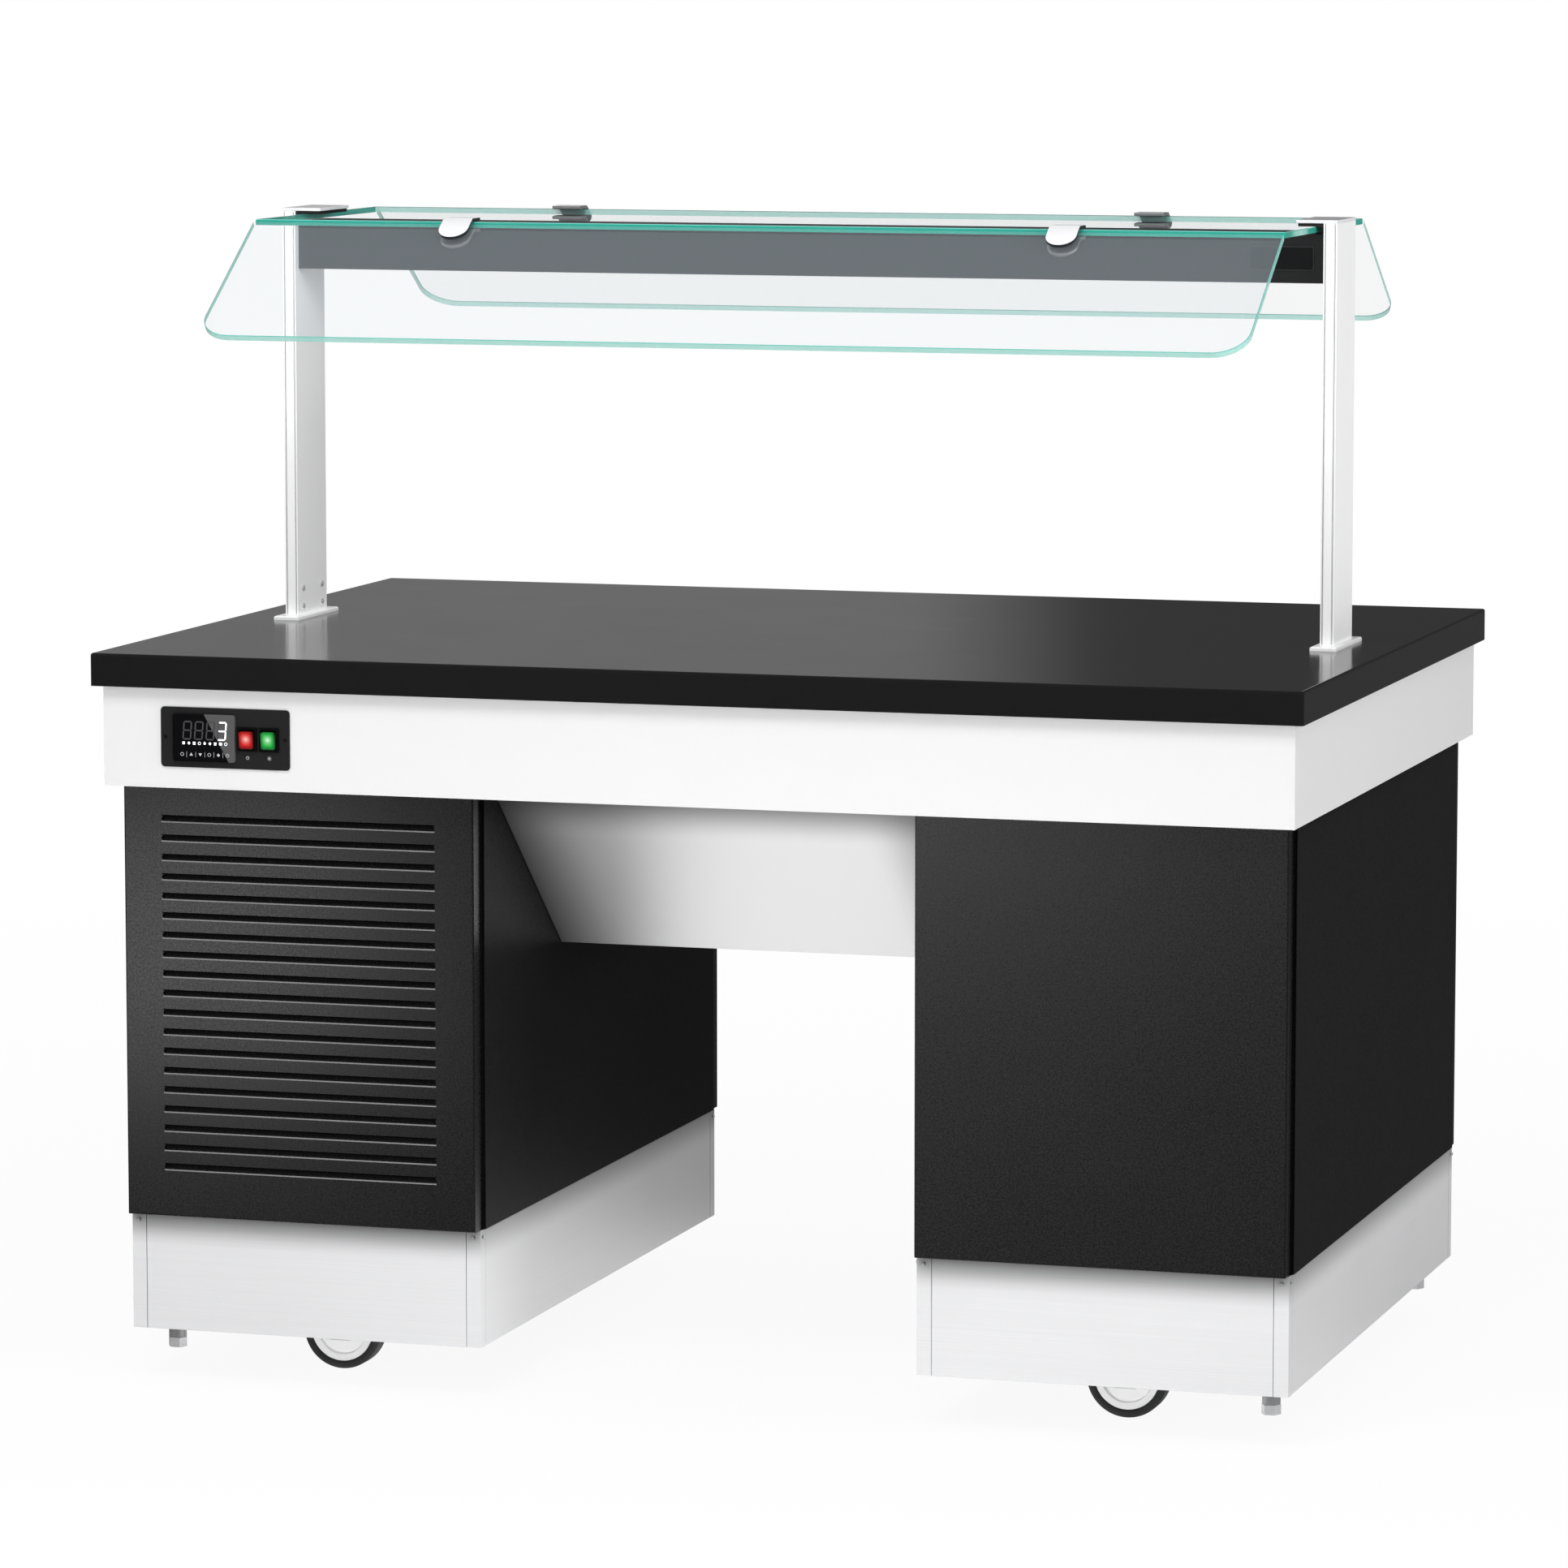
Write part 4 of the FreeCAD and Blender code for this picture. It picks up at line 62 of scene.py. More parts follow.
import json
import logging
import math
from dataclasses import dataclass, replace
from enum import Enum
from typing import Callable, ClassVar, Sequence

import bmesh
import bpy
from mathutils import Matrix, Vector

LOG = logging.getLogger("counter")
MM = 0.001
COUNTER = "counter"
CORNER_NAMES = ("front_left", "front_right", "rear_left", "rear_right")
Colour = tuple[float, float, float]
Point = tuple[float, float, float]
Flat = tuple[float, float]
Outline = list[Flat]

# A place on a surface and the direction that it faces
Seat = tuple[Point, Point]

# A square's corners in order
SQUARE = ((1, 1), (-1, 1), (-1, -1), (1, -1))

# How finishes vary over a surface, and the painted shade that darkens them in corners
CONTRAST = 8.0
BLOTCH_SCALE = (7.0, 7.0, 7.0)
BLOTCH_DETAIL = 3.0
RELIEF_HEIGHT = 0.4 * MM
CORNER_SHADE_DEPTH = 0.12
OPEN_GAIN = 1.8
OPEN_LOSS = 0.72

# How edges are merged, found and broken
MERGE_REACH = 0.02 * MM
FLAT_ANGLE = math.radians(1)
SHARP_ANGLE = math.radians(40)
EVEN_WEIGHT = 100
FINE_STEPS = 3


# Shader maths

class Value:
    """A node socket on which Python's operators add Math nodes."""

    def __init__(self, graph: "Graph", socket: bpy.types.NodeSocket) -> None:
        """Keeps the socket and the graph that it belongs to."""
        self.graph = graph
        self.socket = socket

    def joined(self, operation: str, *others: "Value | float") -> "Value":
        """Adds one Math node.

        Args:
            operation: the Math node's operation.
            others: its values or links, in order.

        Returns:
            The node's result.
        """
        inputs = {index: item for index, item in enumerate(others)}
        return self.graph.node("ShaderNodeMath", inputs, operation=operation)

    def __add__(self, other: "Value | float") -> "Value":
        """Sum of both."""
        return self.joined("ADD", self, other)

    def __radd__(self, other: float) -> "Value":
        """Sum of both."""
        return self.joined("ADD", other, self)

    def __sub__(self, other: "Value | float") -> "Value":
        """This less the other."""
        return self.joined("SUBTRACT", self, other)

    def __rsub__(self, other: float) -> "Value":
        """The other less this."""
        return self.joined("SUBTRACT", other, self)

    def __mul__(self, other: "Value | float") -> "Value":
        """Product of both."""
        return self.joined("MULTIPLY", self, other)

    def __rmul__(self, other: float) -> "Value":
        """Product of both."""
        return self.joined("MULTIPLY", other, self)

    def size(self) -> "Value":
        """This value without its sign."""
        return self.joined("ABSOLUTE", self)

    def clamped(self) -> "Value":
        """This value kept between nought and one."""
        return self.joined("MINIMUM", self.joined("MAXIMUM", self, 0.0), 1.0)


class Graph:
    """The node tree of one material or of the world."""

    def __init__(self, tree: bpy.types.NodeTree) -> None:
        """Empties the tree and keeps it."""
        self.tree = tree
        tree.nodes.clear()

    def node(self, kind: str, inputs: dict | None = None, out: int | str = 0, **settings: object) -> Value:
        """Adds a node of any type.

        Args:
            kind: the node's type.
            inputs: values or links by socket name or number.
            out: the output to return.
            settings: the node's own settings, set before its sockets.

        Returns:
            The chosen output.
        """
        item = self.tree.nodes.new(kind)
        for name, setting in settings.items():
            setattr(item, name, setting)
        for name, value in (inputs or {}).items():
            socket = item.inputs[name]
            if isinstance(value, Value):
                self.tree.links.new(value.socket, socket)
            else:
                socket.default_value = value
        return Value(self, item.outputs[out] if item.outputs else None)

    def place(self, scale: Point) -> Value:
        """Object coordinates stretched by a scale along each axis."""
        where = self.node("ShaderNodeTexCoord", out="Object")
        return self.node("ShaderNodeMapping", {"Vector": where, "Scale": scale})

    def along(self, axis: str, source: str = "Object") -> Value:
        """One axis of the object coordinates, or of another output of Texture Coordinate."""
        where = self.node("ShaderNodeTexCoord", out=source)
        return self.node("ShaderNodeSeparateXYZ", {0: where}, out=axis)

    def noise(self, scale: Point, detail: float = 2.0) -> Value:
        """Noise from nought to one on stretched object coordinates."""
        inputs = {"Vector": self.place(scale), "Scale": 1.0, "Detail": detail}
        return self.node("ShaderNodeTexNoise", inputs, out="Fac")

    def tinted(self, amount: Value, dark: "Colour | Value", light: "Colour | Value") -> Value:
        """A colour between two by an amount."""
        ends = [end if isinstance(end, Value) else (*end, 1.0) for end in (dark, light)]
        return self.node("ShaderNodeMix", {0: amount, 6: ends[0], 7: ends[1]}, out=2, data_type="RGBA")

    def finish(self, shader: Value, kind: str = "ShaderNodeOutputMaterial") -> None:
        """Joins a shader to the tree's output."""
        self.node(kind, {"Surface": shader})


class Grain(Enum):
    """How a finish varies over its surface, as the stretch of its pattern in each direction."""

    LEVEL = (3.0, 3.0, 1400.0)
    UPRIGHT = (1400.0, 1400.0, 3.0)
    POWDER = (430.0, 430.0, 430.0)
    STONE = (420.0, 420.0, 420.0)
    MOULDED = (900.0, 900.0, 900.0)
    SMOOTH = (60.0, 60.0, 60.0)


@dataclass(frozen=True)
class Finish:
    """One surface finish with its colour, gloss and grain.

    uneven and blotch are how far the fine and the wide pattern change it, relief is the strength of its bump, glow
    its own light, and shaded how near another surface starts a painted shade that darkens it, in metres.
    """

    name: str
    colour: Colour
    roughness: float
    metallic: float = 0.0
    specular: float = 0.5
    coat: float = 0.0
    grain: Grain = Grain.SMOOTH
    uneven: float = 0.06
    relief: float = 0.0
    blotch: float = 0.05
    glow: float = 0.0
    shaded: float = 0.0

    def material(self) -> bpy.types.Material:
        """The finish as a material, made once and then shared.

        Returns:
            The material.
        """
        found = bpy.data.materials.get(f"{self.name}_finish")
        if found:
            return found
        made = bpy.data.materials.new(f"{self.name}_finish")
        made.use_nodes = True
        graph = Graph(made.node_tree)
        graph.finish(self.shader(graph))
        made.diffuse_color = (*self.colour, 1.0)
        return made

    def shader(self, graph: Graph) -> Value:
        """Builds the surface shader.

        Args:
            graph: the material's tree.

        Returns:
            The shader's output.
        """
        fine = graph.noise(self.grain.value)
        wide = graph.noise(BLOTCH_SCALE, BLOTCH_DETAIL)
        shade = (0.5 + (fine - 0.5) * (self.uneven * CONTRAST) + (wide - 0.5) * (self.blotch * CONTRAST)).clamped()
        spread = self.uneven + self.blotch
        dark = tuple(part * (1 - spread) for part in self.colour)
        light = tuple(min(1.0, part * (1 + spread)) for part in self.colour)
        colour = graph.tinted(shade, dark, light)
        # Painted shade: the colour darkens towards a deep tone near other surfaces, found by ambient occlusion
        if self.shaded:
            deep = tuple(part * CORNER_SHADE_DEPTH for part in self.colour)
            colour = graph.tinted(self.clearness(graph), deep, colour)
        inputs = {
            "Base Color": colour,
            "Roughness": (self.roughness + (fine - 0.5) * self.uneven + (wide - 0.5) * self.blotch).clamped(),
            "Metallic": self.metallic,
            "Specular IOR Level": self.specular,
            "Coat Weight": self.coat,
        }
        if self.relief:
            height = {"Height": fine, "Strength": self.relief, "Distance": RELIEF_HEIGHT}
            inputs["Normal"] = graph.node("ShaderNodeBump", height)
        if self.glow:
            inputs["Emission Color"] = (*self.colour, 1.0)
            inputs["Emission Strength"] = self.glow
        return graph.node("ShaderNodeBsdfPrincipled", inputs)

    def clearness(self, graph: Graph) -> Value:
        """How clear of the painted corner shade a place is: nought deep in a corner, one in the open."""
        open_air = graph.node("ShaderNodeAmbientOcclusion", {"Distance": self.shaded}, out="AO")
        return (open_air * OPEN_GAIN - OPEN_LOSS).clamped()


@dataclass(frozen=True)
class ShadePaintedSteel(Finish):
    """Steel with a painted shade that darkens it softly right under the piece above it.

    above is that piece, fall how far down the painted shade reaches, and least how clear of it the steel is at the
    top.
    """

    above: str = "apron_tray"
    fall: float = 62 * MM
    least: float = 0.125

    def clearness(self, graph: Graph) -> Value:
        """Clear of the painted corner shade and of the painted shade right under the piece above.

        Args:
            graph: the material's tree.

        Returns:
            Nought in the deepest painted shade, one in the open.
        """
        below = ((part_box(self.above)[0].z - graph.along("Z")) * (1 / self.fall)).clamped()
        soft = below * below * (3.0 - 2.0 * below)
        return super().clearness(graph) * (self.least + (1 - self.least) * soft)


@dataclass(frozen=True)
class SideCoat(Finish):
    """Coating of the side panels, with painted shade in corners and high up on the inner sides beside the trough.

    inner is the farthest from the middle that an inner side lies, parting the blur of that limit, and least how clear
    of the painted shade an inner side is at its top.
    """

    inner: float = 300 * MM
    parting: float = 1 * MM
    least: float = 0.25

    def clearness(self, graph: Graph) -> Value:
        """Clear of the painted corner shade, and on the inner sides clearer of the painted shade further down.

        Args:
            graph: the material's tree.

        Returns:
            Nought in the deepest painted shade, one in the open.
        """
        outside = ((graph.along("X").size() - self.inner) * (1 / self.parting)).clamped()
        low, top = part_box("trough_housing")[0].z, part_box("apron_tray")[0].z
        below = ((top - graph.along("Z")) * (1 / (top - low))).clamped()
        soft = self.least + (1 - self.least) * below
        return super().clearness(graph) * (outside + (1.0 - outside) * soft)


@dataclass(frozen=True)
class PaintedGleamWindow(Finish):
    """Black glass with a painted paler reflection slanting over its right side.

    corner is a point of the painted reflection's edge as X and Z, slope that edge's slant, and gleam its strength.
    """

    corner: Flat = (-590.5 * MM, 802 * MM)
    slope: float = 0.55
    blur: float = 0.25 * MM
    gleam: float = 0.085
    shine: Colour = (0.9, 0.9, 0.9)

    def shader(self, graph: Graph) -> Value:
        """Lays the painted reflection over the black glass right of a slanting line.

        Args:
            graph: the material's tree.

        Returns:
            The shader's output.
        """
        body = super().shader(graph)
        inside = graph.along("X") - self.corner[0] + (graph.along("Z") - self.corner[1]) * self.slope
        amount = (inside * (1 / self.blur)).clamped() * self.gleam
        # Painted reflection: a pale diffuse layer mixed in right of the slanting line
        pale = graph.node("ShaderNodeBsdfDiffuse", {"Color": (*self.shine, 1.0)})
        return graph.node("ShaderNodeMixShader", {0: amount, 1: body, 2: pale})


@dataclass(frozen=True)
class ClearGlass(Finish):
    """Clear glass with a faint cool bloom that grows a little at a flat angle.

    bloom and grazing are how much they hide of what is behind, and haze how far the bloom varies.
    """

    bloom: float = 0.09
    grazing: float = 0.06
    haze: float = 0.12
    refraction: float = 1.48

    def shader(self, graph: Graph) -> Value:
        """Almost all of the surface lets light through; the rest carries the bloom.

        Args:
            graph: the material's tree.

        Returns:
            The shader's output.
        """
        facing = graph.node("ShaderNodeFresnel", {"IOR": self.refraction})
        cloud = graph.noise((2.0, 2.0, 2.0)) * self.haze + (1 - self.haze / 2)
        inputs = {
            "Base Color": (*self.colour, 1.0),
            "Roughness": self.roughness,
            "Alpha": self.bloom * cloud + facing * self.grazing,
        }
        return graph.node("ShaderNodeBsdfPrincipled", inputs)


@dataclass(frozen=True)
class LitLens(Finish):
    """A rocker's lens with a lamp behind its middle.

    middle is the lamp's place, reach how far its bright core spreads, and fade how wide the dark rim is round half,
    the lens's half width and height about its centre.
    """

    middle: Point = (0.0, 0.0, 0.0)
    centre: Flat = (0.0, 0.0)
    half: Flat = (0.0, 0.0)
    reach: float = 10.5 * MM
    fade: float = 4.8 * MM
    rim: Colour = (0.0, 0.0, 0.0)
    lit: Colour = (0.0, 0.0, 0.0)
    core: Colour = (0.0, 0.0, 0.0)

    def shader(self, graph: Graph) -> Value:
        """A glow that is brightest over the lamp and falls to a dark rim.

        Args:
            graph: the material's tree.

        Returns:
            The shader's output.
        """
        inputs = {0: graph.node("ShaderNodeTexCoord", out="Object"), 1: self.middle}
        away = graph.node("ShaderNodeVectorMath", inputs, out="Value", operation="DISTANCE")
        near = (1.0 - away * (1 / self.reach)).clamped()
        bright = near * near * near
        across, high = (((half - (graph.along(axis) - middle).size()) * (1 / self.fade)).clamped()
                        for axis, middle, half in zip("XZ", self.centre, self.half))
        glow = graph.tinted(across * high, self.rim, self.lit)
        body = {
            "Base Color": (*self.colour, 1.0),
            "Roughness": self.roughness,
            "Coat Weight": self.coat,
            "Emission Color": graph.tinted(bright, glow, self.core),
            "Emission Strength": self.glow,
        }
        return graph.node("ShaderNodeBsdfPrincipled", body)


FINISHES: dict[str, Finish] = {
    item.name: item for item in (
        Finish("black_stone", (0.007, 0.007, 0.0072), 0.15, grain=Grain.STONE, uneven=0.1, relief=0.02),
        Finish("apron_steel", (0.75, 0.75, 0.75), 0.42, metallic=0.1, grain=Grain.LEVEL, uneven=0.012, blotch=0.01),
        Finish("black_coat", (0.0062, 0.0062, 0.0064), 0.3, specular=0.3, grain=Grain.POWDER, uneven=0.45,
               relief=0.2),
        Finish("front_coat", (0.0075, 0.0075, 0.0077), 0.27, specular=0.3, grain=Grain.POWDER, uneven=0.3,
               blotch=0.03, relief=0.02),
        # Side panels with painted shade in corners and high on the inner sides by the trough
        SideCoat("side_coat", (0.0115, 0.0115, 0.0117), 0.4, specular=0.05, grain=Grain.POWDER, uneven=0.35,
                 relief=0.2, shaded=0.1),
        Finish("panel_plate", (0.014, 0.014, 0.0142), 0.4, specular=0.4, grain=Grain.MOULDED, relief=0.08),
        # Near black on the frames: painted shade where they show in the panel seams
        Finish("frame_painted_shade", (0.003, 0.003, 0.003), 0.6, specular=0.1),
        # Near black strips above the louvre slots: painted shade
        Finish("slot_shade", (0.0015, 0.0015, 0.0015), 0.8, specular=0.0),
        # Pale grey of the louvre lips on black coat: a painted highlight
        Finish("lip_painted_highlight", (0.2, 0.2, 0.2), 0.4, grain=Grain.POWDER, uneven=0.1),
        # Trough and kick steel carry a painted shade under the apron and under the cabinets
        ShadePaintedSteel("trough_steel", (0.88, 0.88, 0.88), 0.34, metallic=0.75, grain=Grain.LEVEL, uneven=0.02,
                       blotch=0.01, shaded=0.1),
        ShadePaintedSteel("kick_steel", (0.75, 0.75, 0.76), 0.36, metallic=0.2, grain=Grain.LEVEL, uneven=0.07,
                       blotch=0.03, relief=0.05, shaded=0.05, above="side_panels", fall=42 * MM, least=0.45),
        Finish("zinc_steel", (0.74, 0.75, 0.76), 0.3, metallic=0.5, grain=Grain.MOULDED, uneven=0.06),
        Finish("bright_steel", (0.9, 0.9, 0.92), 0.1, metallic=0.55, uneven=0.02, blotch=0.02),
        # Clamp and cap steel as painted reflections: near-white faces, dark front rims, grey inner plates and rear
        # rims
        Finish("clamp_steel", (0.93, 0.93, 0.95), 0.12, metallic=0.12, uneven=0.02, blotch=0.02),
        Finish("rim_painted_reflection", (0.12, 0.12, 0.13), 0.15, metallic=0.9, uneven=0.02, blotch=0.02),
        Finish("plate_steel", (0.45, 0.45, 0.46), 0.2, metallic=0.6, uneven=0.02, blotch=0.02),
        Finish("post_aluminium", (0.97, 0.97, 0.975), 0.3, metallic=0.05, grain=Grain.UPRIGHT, uneven=0.04,
               blotch=0.02, relief=0.03),
        Finish("beam_coat", (0.018, 0.018, 0.0185), 0.35, grain=Grain.MOULDED, uneven=0.08),
        ClearGlass("clear_glass", (0.56, 0.64, 0.7), 0.03, bloom=0.08),
        ClearGlass("level_glass", (0.6, 0.66, 0.7), 0.03, bloom=0.03),
        Finish("tyre_rubber", (0.025, 0.025, 0.026), 0.62, grain=Grain.MOULDED, uneven=0.1, relief=0.15),
        Finish("hub_plastic", (0.97, 0.97, 0.97), 0.35, grain=Grain.MOULDED, uneven=0.02),
        Finish("soft_pad", (0.02, 0.02, 0.02), 0.7, grain=Grain.MOULDED, relief=0.1),
        Finish("black_plastic", (0.008, 0.008, 0.0082), 0.45, specular=0.35, grain=Grain.MOULDED, relief=0.08),
        Finish("bezel_black", (0.003, 0.003, 0.003), 0.3, specular=0.2, grain=Grain.MOULDED),
        Finish("plate_gloss", (0.006, 0.006, 0.0062), 0.12, coat=0.3),
        Finish("plate_rim", (0.04, 0.04, 0.042), 0.3),
        PaintedGleamWindow("dark_window", (0.0025, 0.0025, 0.003), 0.12, specular=0.25, uneven=0.01, blotch=0.01),
        Finish("red_rocker", (0.06, 0.003, 0.003), 0.18, coat=0.3),
        Finish("green_rocker", (0.004, 0.04, 0.008), 0.18, coat=0.3),
        Finish("diffuser_white", (0.86, 0.86, 0.85), 0.45, uneven=0.02),
        Finish("foam", (0.8, 0.7, 0.42), 0.85, grain=Grain.MOULDED, relief=0.3),
        Finish("copper", (0.72, 0.36, 0.22), 0.25, metallic=1.0),
        Finish("cold_plate", (0.76, 0.76, 0.77), 0.32, metallic=1.0, grain=Grain.LEVEL),
        Finish("black_enamel", (0.014, 0.014, 0.014), 0.2, coat=0.4),
        Finish("grey_plastic", (0.42, 0.42, 0.42), 0.5, grain=Grain.MOULDED, relief=0.08),
    )
}

# Ground edges of the panes and their arrises: at the front fold, round the front pane, and at the rear
FOLD_EDGE = Finish("fold_edge", (0.03, 0.36, 0.28), 0.12, uneven=0.03)
FOLD_ARRIS = Finish("fold_arris", (0.2, 0.6, 0.52), 0.12, uneven=0.03)
OUTER_EDGE = ClearGlass("outer_edge", (0.33, 0.66, 0.59), 0.12, bloom=0.85)
OUTER_ARRIS = Finish("outer_arris", (0.13, 0.46, 0.4), 0.12, uneven=0.03)
REAR_EDGE = ClearGlass("rear_edge", (0.28, 0.62, 0.55), 0.12, bloom=0.75)
REAR_ARRIS = ClearGlass("rear_arris", (0.13, 0.46, 0.4), 0.12, bloom=0.85)

# Nodes whose finish isn't their slot's own; the frames are near black as painted shade in the panel seams
SPECIAL = {"left_louvre_panel": "front_coat", "left_frame": "frame_painted_shade", "right_frame": "frame_painted_shade",
           "foot_sleeves": "plate_steel"}

# The rockers' lenses, paint of the marks, and grey strips of painted shade for the post grooves
LENSES = {
    "red": LitLens("red_lens", (0.08, 0.004, 0.004), 0.18, glow=1.0, rim=(0.07, 0.002, 0.002),
                   lit=(0.62, 0.008, 0.008), core=(1.0, 0.66, 0.6)),
    "green": LitLens("green_lens", (0.004, 0.06, 0.012), 0.18, glow=1.0, rim=(0.004, 0.06, 0.012),
                     lit=(0.012, 0.42, 0.05), core=(0.74, 1.0, 0.76)),
}
GROOVE_SHADE = Finish("groove", (0.3, 0.3, 0.305), 0.4)
LIT_MARK = Finish("lit_mark", (0.95, 0.95, 0.97), 0.4, glow=1.0)
DIM_MARK = Finish("dim_mark", (0.055, 0.055, 0.06), 0.4)
PALE_MARK = Finish("pale_mark", (0.5, 0.5, 0.5), 0.5)


# Objects and meshes

def linked(name: str, data: bpy.types.ID) -> bpy.types.Object:
    """A new object in the scene.

    Args:
        name: the object's name.
        data: its mesh, lamp or camera.

    Returns:
        The object.
    """
    item = bpy.data.objects.new(name, data)
    bpy.context.scene.collection.objects.link(item)
    return item


def finished(name: str, mesh: bpy.types.Mesh, body: str, slot: str, *nodes: str) -> bpy.types.Object:
    """Places a finished mesh in the scene and ties it to its body.

    Args:
        name: the piece's name.
        mesh: its mesh, in place.
        body: the body that it rides on.
        slot: the record's material slot; not used.
        nodes: the construction nodes that it stands for.

    Returns:
        The new piece.
    """
    item = linked(name, mesh)
    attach(item, body)
    if nodes:
        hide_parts(*nodes)
    LOG.info("%s on %s", name, body)
    return item


def mesh_of(name: str, shape: bmesh.types.BMesh, *finishes: Finish) -> bpy.types.Mesh:
    """Turns an edited shape into a mesh with its finishes.

    Args:
        name: the mesh's name.
        shape: the shape, which is used up.
        finishes: one for each material number of its faces.

    Returns:
        The mesh.
    """
    mesh = bpy.data.meshes.new(name)
    shape.to_mesh(mesh)
    shape.free()
    for finish in finishes:
        mesh.materials.append(finish.material())
    return mesh


def settled(item: bpy.types.Object, name: str) -> bpy.types.Mesh:
    """The evaluated shape of an object as a plain mesh, with the object taken away.

    Args:
        item: the object, with its modifiers.
        name: the mesh's name.

    Returns:
        The mesh.
    """
    bpy.context.view_layer.update()
    state = bpy.context.evaluated_depsgraph_get()
    mesh = bpy.data.meshes.new_from_object(item.evaluated_get(state))
    mesh.name = name
    item.modifiers.clear()
    bpy.data.objects.remove(item)
    return mesh


def slot_of(node: str) -> str:
    """The record's material slot of a construction node."""
    return next(row["material_slot"] for row in frame["record"]["subparts"] if row["node"] == node)


def softened(node: str, width: float, steps: int = 2, finish: str = "") -> bpy.types.Object:
    """A construction node again with its sharp edges broken.

    Args:
        node: the node's name.
        width: how wide the broken edge is, in metres.
        steps: how many facets round it.
        finish: its finish, where that isn't its slot's own.

    Returns:
        The piece that stands for the node.
    """
    source = frame["nodes"][node]
    shape = bmesh.new()
    shape.from_mesh(source.data)
    bmesh.ops.remove_doubles(shape, verts=shape.verts, dist=MERGE_REACH)
    bmesh.ops.dissolve_limit(shape, angle_limit=FLAT_ANGLE, verts=shape.verts, edges=shape.edges)
    slot = slot_of(node)
    base = linked(f"{node}_base", mesh_of(f"{node}_base", shape, FINISHES[finish or slot]))
    bevel = base.modifiers.new("edges", "BEVEL")
    bevel.width = width
    bevel.segments = steps
    bevel.limit_method = "ANGLE"
    bevel.angle_limit = SHARP_ANGLE
    bevel.use_clamp_overlap = True
    for face in base.data.polygons:
        face.use_smooth = True
    even = base.modifiers.new("flats", "WEIGHTED_NORMAL")
    even.weight = EVEN_WEIGHT
    mesh = settled(base, f"{node}_piece")
    return finished(f"{node}_piece", mesh, source["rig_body"], slot, node)


def prisms(outlines: Sequence[Outline], front: float, back: float) -> bmesh.types.BMesh:
    """Thin plates in upright planes that face the front.

    Args:
        outlines: closed outlines as X and Z in metres.
        front: Y of the face.
        back: Y of the back.

    Returns:
        The shape.
    """
    shape = bmesh.new()
    for outline in outlines:
        near = [shape.verts.new((x, front, z)) for x, z in outline]
        far = [shape.verts.new((x, back, z)) for x, z in outline]
        shape.faces.new(near)
        shape.faces.new(list(reversed(far)))
        for index in range(len(outline)):
            after = (index + 1) % len(outline)
            shape.faces.new((near[index], far[index], far[after], near[after]))
    bmesh.ops.recalc_face_normals(shape, faces=shape.faces)
    return shape


def rounded(x: float, z: float, wide: float, high: float, radius: float, steps: int = 8) -> Outline:
    """A rectangle's outline with round corners.

    Args:
        x: its middle across.
        z: its middle in height.
        wide: its width.
        high: its height.
        radius: of the corners.
        steps: facets on each corner.

    Returns:
        The closed outline.
    """
    points = []
    for index, (right, up) in enumerate(SQUARE):
        for step in range(steps + 1):
            angle = math.radians(90 * (index + step / steps))
            across = right * (wide / 2 - radius) + radius * math.cos(angle)
            points.append((x + across, z + up * (high / 2 - radius) + radius * math.sin(angle)))
    return points


# Trees for repeated pieces

